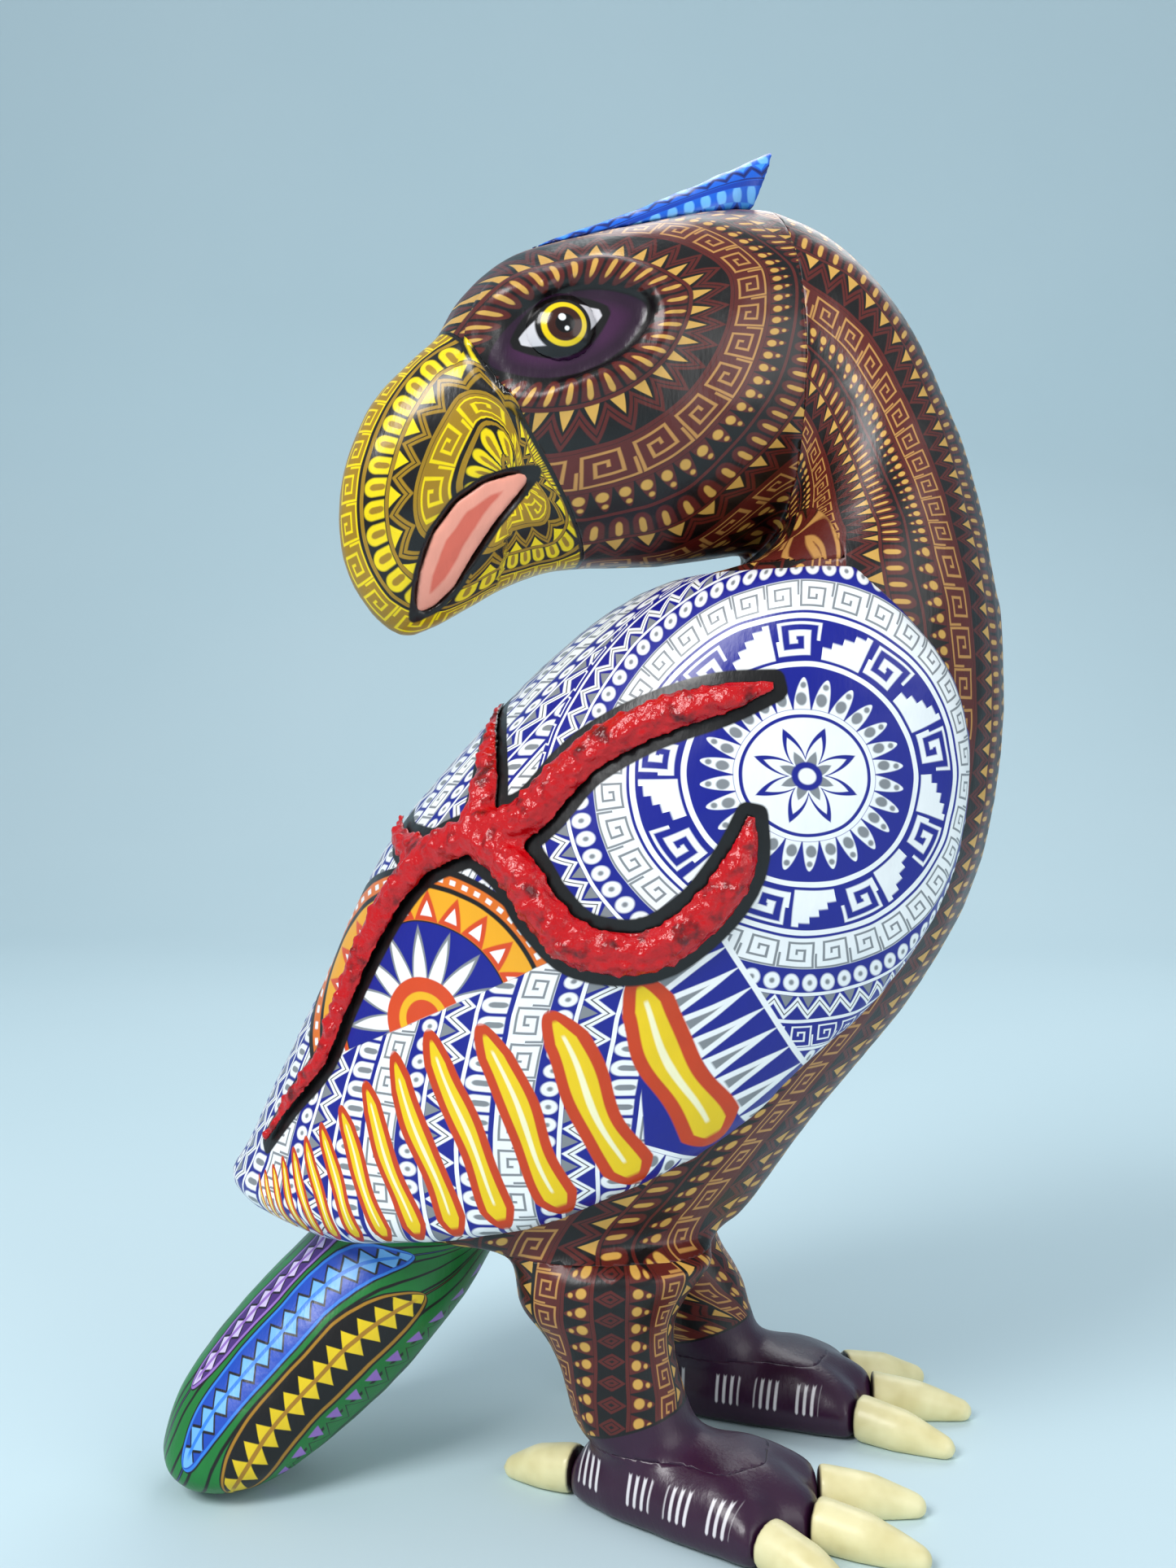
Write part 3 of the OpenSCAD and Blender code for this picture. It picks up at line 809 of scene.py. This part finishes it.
def spikes(colour, u, v, inside, fill, heart):
    """Long white points with a darker heart."""
    x = abs(part_of(u) - 0.5)
    colour = over(colour, fill, ink(x - v * 0.46, 0.05) * inside)
    return over(colour, heart, ink(x - (v - 0.45) * 0.4, 0.05) * inside * ink(v - 0.92, 0.03))


def beads(colour, u, v, inside, fill, heart):
    """Round dots, each with a small one in it."""
    d = length(part_of(u) - 0.5, (v - 0.5) * 0.9)
    colour = over(colour, fill, ink(d - 0.4, 0.1) * inside)
    return over(colour, heart, ink(d - 0.13, 0.1) * inside)


def steps(colour, u, v, inside, fill):
    """Stepped blocks, and a square spiral in a frame between each two."""
    x = part_of(u)
    left = x * 2.0
    stairs = whole(part_of(left) * (STAIRS - 0.01)) / STAIRS
    block = ink(v - 1.0 + stairs * 0.8, 0.05) * ink(0.08 - part_of(left), 0.03)
    block = block * calc("LESS_THAN", x, 0.5)
    colour = over(colour, fill, block * inside * ink(abs(v - 0.5) - 0.44, 0.03))
    a = part_of(left) * 2.0 - 1.0
    b = v * 2.0 - 1.0
    low = calc("LESS_THAN", b, 0.0)
    r = highest(abs(a - low * (STEPS_PITCH / 2)), abs(b))
    line = ink(wave(r / STEPS_PITCH + low * 0.5 + 0.45) - 0.5, 0.25) * ink(r - 0.86, 0.05)
    return over(colour, fill, line * inside * calc("GREATER_THAN", x, 0.5))


def dashes(colour, u, v, inside, fill):
    """Long rounded dabs of the brush."""
    return over(colour, fill, ink(length(part_of(u) - 0.5, (v - 0.5) * 0.45) - 0.3, 0.1) * inside)


def rule(colour, u, v, inside, line):
    """A plain line along the row."""
    return over(colour, line, inside * ink(abs(v - 0.5) - 0.42, 0.1))


FEWEST_REPEATS = 0.3


def rows(colour, across, along, pattern, ring=False, begin=0.0, zone=None, hub=0.0, bend=None):
    """Lays rows of motifs side by side, again and again, from begin onwards and only inside the zone.

    A row is (motif, width, length of a repeat, its colours). In a ring, along is a share of a turn and across
    the radius less the hub, so that each row closes. On a bent piece, bend is its ridge's radius, and the rows
    nearer the bend have fewer repeats.
    """
    total = sum(row[1] for row in pattern)
    turns = (across - begin) / total
    lap = whole(turns)
    place = (turns - lap) * total
    reached = 0.0
    for motif, width, repeat, *colours in pattern:
        v = (place - reached) / width
        inside = ink(abs(v - 0.5) - 0.5, 0.3 / width)
        if zone is not None:
            inside = inside * zone
        u = along / repeat
        radius = lap * total + (begin + reached + width / 2 + hub)
        if bend:
            u = u * highest(1.0 - radius / bend, FEWEST_REPEATS)
        if ring:
            u = along * highest(calc("ROUND", radius * (2 * math.pi / repeat)), 1.0)
        colour = motif(colour, u, v, inside, *colours)
        reached += width
    return colour


# ---- Paints. Lengths are in millimetres along the flat coordinates ----
EARTH_ROWS = [
    (petals, 8.5, 5.2, EARTH, GOLD),
    (rule, 1.4, 1.0, EARTH),
    (zigzag, 11.5, 7.4, EARTH, GOLD),
    (rule, 1.4, 1.0, EARTH),
    (greca, 11.0, 12.5, TAN, EARTH),
    (rule, 1.4, 1.0, EARTH),
    (teeth, 7.5, 5.0, EARTH, GOLD),
    (rule, 0.8, 1.0, BLACK),
    (rule, 1.3, 1.0, EARTH),
    (rule, 0.8, 1.0, BLACK),
]
BEAK_ROWS = [
    (greca, 10.0, 11.0, YELLOW, OCHRE),
    (rule, 1.0, 1.0, BLACK),
    (rule, 1.8, 1.0, OCHRE),
    (petals, 9.0, 6.0, YELLOW, OCHRE),
    (rule, 1.8, 1.0, OCHRE),
    (zigzag, 10.5, 8.0, OCHRE, YELLOW),
    (rule, 1.8, 1.0, OCHRE),
]
LEG_ROWS = [
    (zigzag, 8.0, 7.0, EARTH, GOLD),
    (rule, 1.2, 1.0, EARTH),
    (teeth, 7.0, 6.0, EARTH, GOLD),
    (rule, 1.2, 1.0, EARTH),
    (greca, 9.0, 10.0, TAN, EARTH),
    (rule, 1.2, 1.0, BLACK),
]
CREST_ROWS = [
    (rule, 2.5, 1.0, CREST_RULE),
    (dashes, 4.5, 6.0, CREST_DASH),
    (zigzag, 6.5, 7.0, CREST_NAVY, CREST_TOOTH),
    (rule, 0.9, 1.0, CREST_NAVY),
]
DORSAL_ROWS = [
    (greca, 10.0, 11.0, GREY, WHITE),
    (rule, 1.2, 1.0, BLUE),
    (beads, 5.5, 5.5, WHITE, GREY),
    (rule, 1.4, 1.0, WHITE),
    (zigzag, 9.0, 8.0, WHITE, GREY),
    (rule, 1.4, 1.0, WHITE),
    (petals, 8.0, 6.0, WHITE, GREY),
    (rule, 1.2, 1.0, BLUE),
]
DISC_ROWS = [
    (rule, 1.6, 1.0, WHITE),
    (teeth, 9.0, 5.8, WHITE, GREY),
    (rule, 3.0, 1.0, BLUE),
    (rule, 1.9, 1.0, WHITE),
    (steps, 12.5, 29.0, WHITE),
    (rule, 1.9, 1.0, WHITE),
    (rule, 0.7, 1.0, BLUE),
    (greca, 9.5, 10.5, GREY, WHITE),
    (rule, 1.4, 1.0, BLUE),
    (beads, 6.0, 5.5, WHITE, GREY),
    (rule, 1.3, 1.0, WHITE),
    (zigzag, 7.5, 7.0, WHITE, GREY),
    (rule, 1.3, 1.0, WHITE),
    (greca, 8.0, 9.0, WHITE, BLUE),
    (rule, 1.3, 1.0, WHITE),
    (petals, 7.5, 6.0, WHITE, GREY),
    (rule, 30.0, 1.0, BLUE),
]
# A feather is (middle, half its width, where it begins and ends, its ground, its points, its edge).
FEATHERS = [
    (13.0, 6.5, 6.0, 84.0, VIOLET, PALE_LILAC, LILAC),
    (32.0, 9.5, 2.0, 96.0, TAIL_BLUE, TAIL_SKY, TAIL_EDGE),
    (56.0, 10.5, 8.0, 92.0, BLACK, TAIL_YELLOW, TAIL_GOLD),
]
LID_REACH = 15.0
LID_HALF = 7.0
LID_LINE = 2.6
CORNER_HALF = 5.6
BEAD_RIM = 8.6
LENS_REACH = 28.5
LENS_RISE = 13.0
LENS_RADIUS = (LENS_REACH**2 + LENS_RISE**2) / (2 * LENS_RISE)
LENS_GIRTH = 4 * LENS_RADIUS * math.asin(LENS_REACH / LENS_RADIUS)
BEAK_RIDGE = 62.0
STROKE = 2.6
STROKE_GROUP = 14.0
STROKES_END = 47.0


def body_paint():
    material, across, along, _ = painted("earth_body")
    return varnish(material, rows(BLACK, across, along, EARTH_ROWS, begin=-21.0), 0.36, 0.25)


def lids(colour, x, y):
    """The painted eye opening round a bead: dark lids, and a pale corner on each side."""
    along, across = tilted(x, y)
    bow = 1.0 - along * along / LID_REACH**2
    line = ink(abs(across) - bow * LID_HALF - LID_LINE, 0.8) * ink(abs(along) - LID_REACH - 1.5, 1.0)
    colour = over(colour, BLACK, line)
    corner = ink(abs(across) - bow * CORNER_HALF, 0.5) * ink(abs(along) - LID_REACH + 1.5, 0.5)
    colour = over(colour, EYE_WHITE, corner)
    return over(colour, BLACK, ink(length(x, y) - BEAD_RIM, 0.5))


def head_paint():
    """Rows of motifs run round a purple almond in the eye's hollow."""
    material = start("earth_head")
    a, z, _ = layer("flat")
    flat_a, flat_z, _ = layer("socket")
    x, y = unsteady(a - float(SOCKET[0]), z - float(SOCKET[1]), 0.6)
    along, up = tilted(x, y)
    distance = length(along, length(up, 3.0) + (LENS_RADIUS - LENS_RISE)) - LENS_RADIUS
    turn = turn_of(along * 0.6, up)
    hub = LENS_GIRTH / (2 * math.pi)
    colour = rows(BLACK, distance, turn, EARTH_ROWS, ring=True, begin=1.4, hub=hub)
    colour = over(colour, BLACK, ink(distance - 1.2, 0.4))
    # Painted shade: dark plum round the rim of the eye's hollow, under the brow, fading into plain plum
    # further in.
    colour = over(colour, SHADED_PLUM, ink(distance, 0.5))
    colour = over(colour, PLUM, ink(distance + 4.0, 3.0))
    colour = lids(colour, flat_a - float(EYE[0]), flat_z - float(EYE[1]))
    return varnish(material, colour, 0.32, 0.22)


def beak_paint():
    material, across, along, near = painted("yellow_beak", 0.5)
    colour = rows(BLACK, across, along, BEAK_ROWS, begin=1.5, bend=BEAK_RIDGE)
    colour = over(colour, BLACK, ink(near - 2 * BEAK_RULE, 0.5))
    return varnish(material, colour, 0.28, 0.2)


def leg_paint():
    """Rows of motifs down to the dark paint that the foot and the shank's foot end share."""
    material, across, along, above = painted("earth_leg", 0.6)
    colour = rows(BLACK, across, along, LEG_ROWS, begin=-4.0)
    colour = over(colour, BLACK, ink(above - 0.9, 0.4))
    colour = over(colour, AUBERGINE, ink(above, 0.4))
    return varnish(material, colour, 0.38, 0.25)


def foot_paint():
    """Groups of short pale strokes along each toe, and a dark line at the floor."""
    material, _, along, height = painted("aubergine_foot", 0.4)
    colour = over(AUBERGINE, DARK_AUBERGINE, ink(height - 2.0, 0.6))
    group = ink(wave(along / STROKE_GROUP + 0.1) - 0.62, 0.1) * ink(along - STROKES_END, 1.0)
    stroke = ink(abs(part_of(along / STROKE) - 0.5) - 0.2, 0.15)
    reach = band(height + wave(along / STROKE) * 1.2, 9.5, 18.5, 0.7)
    colour = over(colour, CHALK, stroke * group * reach)
    return varnish(material, colour, 0.34, 0.22)


def claw_paint():
    material = start("cream_claw")
    reach, _, _ = layer("flat")
    colour = over(CREAM, DARK_CREAM, ink(noise_at(90.0, 2.0) - 0.42, 0.4))
    colour = over(colour, CLAW_ROOT, ink(reach - 0.9, 0.8))
    return varnish(material, colour, 0.36, 0.1, height=noise_at(400.0, 2.0), mottle=0.05)


def feather(colour, across, along, middle, half, first, last, ground, vane, edge):
    """A long painted feather: a spine, points on both sides of it and an edge line."""
    t = (along - (first + last) / 2) / ((last - first) / 2)
    bow = calc("SQRT", highest(1.0 - t * t * t * t, 0.0)) * half
    off = abs(across - middle)
    inner = ink(off - bow + 1.8, 0.4)
    colour = over(colour, BLACK, ink(off - bow - 0.8, 0.4))
    colour = over(colour, edge, ink(off - bow, 0.4))
    colour = over(colour, ground, ink(off - bow + 1.2, 0.4))
    points = off / half - wave(along / 6.0) * 0.55 - 0.1
    colour = over(colour, vane, inner * ink(points, 0.06))
    colour = over(colour, BLACK, inner * ink(abs(points) - 0.08, 0.06))
    return over(colour, edge, ink(off - 0.8, 0.3) * ink(abs(t) - 0.92, 0.05))


def one_row(colour, across, along, low, high, motif, repeat, *colours):
    """A single row of a motif between two places."""
    inside = band(across, low, high, 0.5)
    return motif(colour, along / repeat, (across - low) / (high - low), inside, *colours)


def tail_paint():
    """Three long feathers and two rows of motifs on green and black stripes."""
    material, across, along, _ = painted("green_tail", 0.7)
    colour = over(GREEN, BLACK, ink(wave(across / 9.0) - 0.16, 0.1))
    colour = one_row(colour, across, along, 69.0, 80.0, zigzag, 8.0, GREEN, LILAC)
    colour = one_row(colour, across, along, 82.0, 87.0, beads, 5.0, BLACK, GREEN)
    for shape in FEATHERS:
        colour = feather(colour, across, along, *shape)
    return varnish(material, colour, 0.36, 0.25)


def crest_paint():
    material, across, along, _ = painted("blue_crest", 0.4)
    return varnish(material, rows(CREST_BLUE, across, along, CREST_ROWS), 0.32, 0.22)


def tongue_paint():
    material = start("salmon_mouth")
    rim, _, _ = layer("flat")
    colour = over(SALMON, PALE_SALMON, ink(rim - 3.2 - noise_at(80.0, 2.0) * 2.0, 0.8))
    return varnish(material, colour, 0.32, 0.2)


def eye_paint():
    """Lids, iris and pupil, with two glints."""
    material = start("eye")
    x, y, _ = layer("flat")
    r = length(x, y)
    colour = lids(EYE_PLUM, x, y)
    for shade, reach in ((IRIS, 7.0), (IRIS_RING, 5.4), (PUPIL, 3.0)):
        colour = over(colour, shade, ink(r - reach, 0.4))
    colour = over(colour, GLINT, ink(length(x - 0.9, y - 1.9) - 1.1, 0.4))
    colour = over(colour, GLINT, ink(length(x + 0.5, y + 1.6) - 0.7, 0.4))
    return varnish(material, colour, 0.16, 0.05, height=noise_at(400.0, 2.0), mottle=0.04)


def relief_paint():
    """Glossy pitted red, with a dark line where it stands on the wing."""
    material = start("red_putty")
    colour = over(RED, DARK_RED, ink(noise_at(160.0, 3.0) - 0.38, 0.15))
    colour = over(colour, BLACK, ink(value_layer("rise") - 1.3, 0.5))
    pits = noise_at(520.0, 3.0) * 1.2 + noise_at(1500.0, 2.0) * 0.2
    return varnish(material, colour, 0.2, 0.5, height=pits, mottle=0.08)


def bare_wood():
    material = start("bare_wood")
    grain = noise_at(260.0, 4.0, (1.0, 1.0, 0.12))
    return varnish(material, over(WOOD, DARK_WOOD, ink(grain - 0.5, 0.25)), 0.6, 0.4, height=grain)


# ---- The wing's painting ----
DISC = (71.0, 235.0)
DISC_REACH = 78.0
DISC_HUB = 18.0
BREAST_EDGE = 20.0
BREAST_TOP = 215.0
SPIKES = (46.0, 188.0)
SPIKES_SLOPE = math.radians(31)
SPIKES_WIDTH = 25.0
SPIKES_LENGTH = 66.0
SPIKE_REPEAT = 7.5
RELIEF_LINE = 3.2
SUN = (-46.0, 159.0)
SUN_SLOPE = math.radians(26)
SUN_EDGE = 46.5
SUN_ARCH = 44.5
SUN_TEETH = 39.5
SUN_TEETH_FOOT = 29.5
SUN_RAYS = 28.4
SUN_CORE = 12.6
FLAME_START = 178.0
FLAME_END = -118.6
FLAME_RATIO = 0.85
FLAME_LEAN = 0.38
FLAME_FIRST = FLAME_END + FLAME_START * FLAME_RATIO**-0.08
FLAME_LAST = -99.0
FLAME_TALLEST = 66.0
FLAME_SHORTEST = 6.0


def rosette(colour, r, turn):
    """A flower of eight petals in the middle of the shoulder disc."""
    leaf = wave(turn * 8.0)
    colour = over(colour, WHITE, ink(r - 17.2, 0.4))
    colour = over(colour, BLUE, ink(abs(r - 17.6) - 0.4, 0.3))
    for shade, reach, foot in ((BLUE, 9.5, 5.5), (WHITE, 7.5, 4.6), (GREY, 4.0, 3.6)):
        colour = over(colour, shade, ink(r - leaf * reach - foot, 0.6))
    colour = over(colour, BLUE, ink(r - 4.2, 0.5))
    return over(colour, WHITE, ink(r - 2.4, 0.5))


def sun(colour, x, z):
    """Half a sun with white rays and rings of orange triangles, under an arch."""
    dx, dz = x - SUN[0], z - SUN[1]
    rise = dz * math.cos(SUN_SLOPE) - dx * math.sin(SUN_SLOPE)
    r = length(dx, dz)
    turn = turn_of(dx, dz)
    zone = ink(-rise, 0.4)
    colour = over(colour, BLACK, zone * ink(r - SUN_EDGE, 0.4))
    colour = over(colour, ORANGE, zone * band(r, SUN_ARCH - 3.5, SUN_ARCH, 0.4))
    dots = band(r, SUN_ARCH - 2.5, SUN_ARCH - 1.0, 0.3) * ink(wave(turn * 60.0) - 0.45, 0.2)
    colour = over(colour, WHITE, zone * dots)
    ring = zone * band(r, SUN_TEETH_FOOT, SUN_TEETH, 0.4)
    tooth = (r - SUN_TEETH_FOOT) / 9.5 - wave(turn * 22.0)
    colour = over(colour, AMBER, ring)
    colour = over(colour, DEEP_ORANGE, ring * ink(tooth, 0.1))
    inner = zone * band(r, SUN_TEETH_FOOT + 1.5, SUN_TEETH - 2.5, 0.4)
    colour = over(colour, WHITE, inner * ink(tooth + 0.35, 0.06))
    colour = over(colour, BLUE, zone * ink(r - SUN_TEETH_FOOT + 0.5, 0.4))
    ray = (r - SUN_CORE) / 15.5 - wave(turn * 15.0)
    colour = over(colour, GREY, zone * ink(r - SUN_RAYS, 0.3) * ink(ray, 0.08))
    colour = over(colour, WHITE, zone * ink(r - SUN_RAYS + 0.9, 0.3) * ink(ray + 0.17, 0.08))
    colour = over(colour, DEEP_ORANGE, zone * ink(r - SUN_CORE, 0.4))
    return over(colour, SUN_RING, zone * ink(abs(r - 7.0) - 1.2, 0.4))


def flames(colour, x, rim):
    """Wavy tongues of flame that stand on the lower edge, smaller and closer towards the tip."""
    foot = x + rim * FLAME_LEAN
    rest = highest(foot - FLAME_END, 1.0) / FLAME_START
    count = calc("LOGARITHM", rest, math.e) / math.log(FLAME_RATIO)
    tall = highest(lowest((foot + 96.0) * 0.66 + 18.0, FLAME_TALLEST), FLAME_SHORTEST)
    t = (rim - 3.0) / tall
    sway = calc("SINE", t * 8.5 + whole(count) * 1.3) * 0.04
    off = abs(part_of(count + sway) - 0.5)
    ends = lowest(highest(t, 0.0) * 9.0, highest(1.0 - t, 0.0) * 6.0)
    d = off - calc("POWER", lowest(ends, 1.0), 0.5) * (0.31 + calc("SINE", t * 13.0) * 0.02)
    zone = ink(-foot + FLAME_LAST, 1.0) * ink(foot - FLAME_FIRST, 0.5) * ink(abs(t - 0.5) - 0.5, 0.03)
    colour = over(colour, FLAME_EDGE, zone * ink(d, 0.02))
    colour = over(colour, FLAME_YELLOW, zone * ink(d + 0.15, 0.02) * ink(abs(t - 0.5) - 0.44, 0.02))
    core = off - 0.045 + abs(t - 0.5) * 0.06
    return over(colour, FLAME_CORE, zone * ink(core, 0.02) * ink(abs(t - 0.5) - 0.36, 0.02))


def spiked_field(colour, x, z):
    """A slanting field of long points below the disc, with a white line along its top."""
    dx, dz = x - SPIKES[0], z - SPIKES[1]
    slant = dx * math.cos(SPIKES_SLOPE) + dz * math.sin(SPIKES_SLOPE)
    down = dx * math.sin(SPIKES_SLOPE) - dz * math.cos(SPIKES_SLOPE)
    field = band(slant, -SPIKES_WIDTH, 0.0, 0.5) * band(down, 0.0, SPIKES_LENGTH, 0.5)
    colour = over(colour, BLUE, field)
    colour = spikes(colour, down / SPIKE_REPEAT, slant / -SPIKES_WIDTH, field, WHITE, GREY)
    return over(colour, WHITE, ink(abs(slant) - 0.9, 0.3) * band(down, 0.0, SPIKES_LENGTH - 6.0, 0.5))


def wing_paint():
    """Rows down the back, a disc with points below it, a sun, flames, and a dark line at the relief."""
    material = start("painted_wing")
    u, z, x = layer("flat")
    rim, near, dorsal = layer("edges")
    u, z = unsteady(u, z, 0.6)
    colour = rows(BLUE, dorsal, z, DORSAL_ROWS)
    du, dz = u - float(wing_flat(*DISC)), z - DISC[1]
    r = length(du, dz)
    turn = turn_of(du, dz)
    front = highest(ink(r - DISC_REACH, 0.5), ink(BREAST_EDGE - u, 0.5) * ink(z - BREAST_TOP, 0.5))
    colour = over(colour, BLUE, front)
    colour = rows(colour, r, turn, DISC_ROWS, ring=True, begin=DISC_HUB, zone=front)
    colour = rosette(colour, r, turn)
    colour = spiked_field(colour, x, z)
    colour = sun(colour, x, z)
    colour = flames(colour, x, rim)
    colour = over(colour, BLACK, ink(near - RELIEF_LINE, 0.6))
    return varnish(material, colour, 0.34, 0.22, mottle=0.06)


# ---- Putting the figure together ----
SIDES = ("right", "left")
DOWELS = ("neck_dowel", "beak_dowel", "leg_dowels", "ankle_dowels", "tail_dowel")
PEGS = ("crest_peg", "wing_pegs")
BEHIND = 100.0


def toe_places(p, side):
    """Offset from the nearest toe's line, distance from the ankle, and distance beyond its claw's root."""
    ankle, angle = FEET[side]
    flat = p[:, :2] - ankle
    best = None
    outward = -1 if side == "right" else 1
    for turn, reach in TOES:
        a = math.radians(angle + turn * outward)
        ahead = flat @ np.array([math.cos(a), math.sin(a)])
        offset = flat @ np.array([-math.sin(a), math.cos(a)])
        cost = np.abs(offset) + np.where(ahead < 0, BEHIND, 0)
        here = np.stack([offset, ahead, ahead - reach, cost], axis=1)
        best = here if best is None else np.where(cost[:, None] < best[:, 3:], here, best)
    return best


def settle(obj, material, slot, *nodes, body="figure"):
    """Gives a piece its material, the nodes that it stands for and its body. The slot is not used."""
    obj.data.materials.clear()
    obj.data.materials.append(material)
    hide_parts(*nodes)
    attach(obj, body)
    return obj


def build_carving():
    made = cut_pieces(carve())
    leg, foot = leg_paint(), foot_paint()
    blocks = [
        ("body", flatten_body, body_paint, "earth_paint"),
        ("head", flatten_head, head_paint, "earth_paint"),
        ("beak", flatten_beak, beak_paint, "yellow_paint"),
        ("tail", flatten_tail, tail_paint, "green_paint"),
    ]
    for name, flatten_block, paint, slot in blocks:
        flatten_block(made[name])
        settle(new_object(name + "_carving", made[name]), paint(), slot, name)
    for side in SIDES:
        flatten_leg(made["leg_" + side], side)
        settle(new_object("leg_" + side + "_carving", made["leg_" + side]), leg, "earth_paint", "leg_" + side)
        mesh = made["foot_" + side]
        p = drawn(points_of(mesh))
        places = toe_places(p, side)
        write(mesh, "flat", np.stack([places[:, 0], places[:, 1], p[:, 2]], axis=1))
        settle(new_object("foot_" + side + "_carving", mesh), foot, "aubergine_paint", "foot_" + side)


def build_claws():
    paint = claw_paint()
    for side in SIDES:
        obj = fine("claws_" + side + "_carving", "claws_" + side, 1.1, 8, 0.1)
        places = toe_places(drawn(points_of(obj.data)), side)
        write(obj.data, "flat", np.stack([places[:, 2], places[:, 0], places[:, 1]], axis=1))
        settle(obj, paint, "cream_paint", "claws_" + side)


def build_wings():
    paint, red = wing_paint(), relief_paint()
    for side in SIDES:
        settle(wing(side), paint, "wing_paint", "wing_" + side)
        settle(relief(side), red, "red_relief", "relief_" + side)


def build_face():
    for side in SIDES:
        obj = fine("eye_" + side + "_bead", "eye_" + side, 0.6, 6)
        a, z, _ = head_frame(drawn(points_of(obj.data)))
        write(obj.data, "flat", np.stack([a - EYE[0], z - EYE[1], a * 0], axis=1))
        settle(obj, eye_paint(), "eye_paint", "eye_" + side)
    mouth = fine("mouth_lining", "tongue", 0.8, 3)
    rim = gap_to("beak", mouth.data)
    write(mouth.data, "flat", np.stack([rim, rim * 0, rim * 0], axis=1))
    settle(mouth, tongue_paint(), "salmon_paint", "tongue")
    crest = fine("crest_carving", "crest", 0.9, 4, 0.3)
    a, z, side = head_frame(drawn(points_of(crest.data)))
    flatten(crest.data, a, z, side)
    settle(crest, crest_paint(), "blue_paint", "crest", body="crest")


def finish_wood():
    wood = bare_wood()
    for name in DOWELS + PEGS:
        NODES[name].data.materials.clear()
        NODES[name].data.materials.append(wood)


# ---- Room, light and camera ----
FLOOR_FRONT = -4.0
FLOOR_BACK = 1.2
FLOOR_CURVE = 0.8
FLOOR_HALF = 5.0
WALL_TOP = 5.0


def room_paint():
    material = start("pale_room")
    shader = material.node_tree.nodes["Principled BSDF"]
    plug(shader.inputs["Base Color"], over(ROOM, ROOM_CLOUD, noise_at(3.0, 2.0) * 0.3))
    shader.inputs["Roughness"].default_value = 0.8
    return material


def room():
    """A pale floor that curves up into a wall, in metres."""
    bm = bmesh.new()
    profile = [(FLOOR_FRONT, 0.0), (FLOOR_BACK, 0.0)]
    for a in np.linspace(0.1, math.pi / 2, 12):
        profile.append((FLOOR_BACK + FLOOR_CURVE * math.sin(a), FLOOR_CURVE * (1 - math.cos(a))))
    profile.append((FLOOR_BACK + FLOOR_CURVE, WALL_TOP))
    strips = [[bm.verts.new((x, y, z)) for y, z in profile] for x in (-FLOOR_HALF, FLOOR_HALF)]
    for k in range(len(profile) - 1):
        bm.faces.new((strips[0][k], strips[1][k], strips[1][k + 1], strips[0][k + 1]))
    mesh = bpy.data.meshes.new("room")
    bm.to_mesh(mesh)
    bm.free()
    obj = new_object("room", mesh)
    mesh.materials.append(room_paint())


def lamp(name, place, target, size, power):
    """A square lamp that faces its target. Lengths are in metres."""
    data = bpy.data.lights.new(name, "AREA")
    data.size = size
    data.energy = power
    obj = bpy.data.objects.new(name, data)
    obj.location = place
    obj.rotation_euler = (Vector(target) - Vector(place)).to_track_quat("-Z", "Y").to_euler()
    bpy.context.scene.collection.objects.link(obj)


def light():
    bpy.context.scene.view_settings.view_transform = "Standard"
    world = bpy.data.worlds.new("soft")
    bpy.context.scene.world = world
    world.use_nodes = True
    background = world.node_tree.nodes["Background"]
    background.inputs["Color"].default_value = (0.84, 0.93, 1.0, 1.0)
    background.inputs["Strength"].default_value = 0.5
    middle = (0.0, 0.0, 0.24)
    lamp("key", (-0.9, -1.2, 1.5), middle, 0.8, 30.0)
    lamp("fill", (1.4, -1.0, 0.8), middle, 1.2, 9.0)
    lamp("back", (0.3, 1.1, 1.5), middle, 1.0, 10.0)


CAMERA_TURN = math.radians(5)
CAMERA_REACH = 535.0
CAMERA_HEIGHT = 250.0


def camera():
    """Level, facing the right wing from a little towards the breast."""
    data = bpy.data.cameras.new("camera")
    data.lens = 35.5
    data.shift_y = -0.038
    data.clip_start = 0.01
    obj = bpy.data.objects.new("camera", data)
    ahead = Vector((-math.sin(CAMERA_TURN), math.cos(CAMERA_TURN), 0.0))
    obj.location = placed(Vector((0.0, 0.0, CAMERA_HEIGHT)) - ahead * CAMERA_REACH)
    obj.rotation_euler = ahead.to_track_quat("-Z", "Y").to_euler()
    bpy.context.scene.collection.objects.link(obj)
    bpy.context.scene.camera = obj


build_carving()
build_claws()
build_wings()
build_face()
finish_wood()
room()
light()
camera()
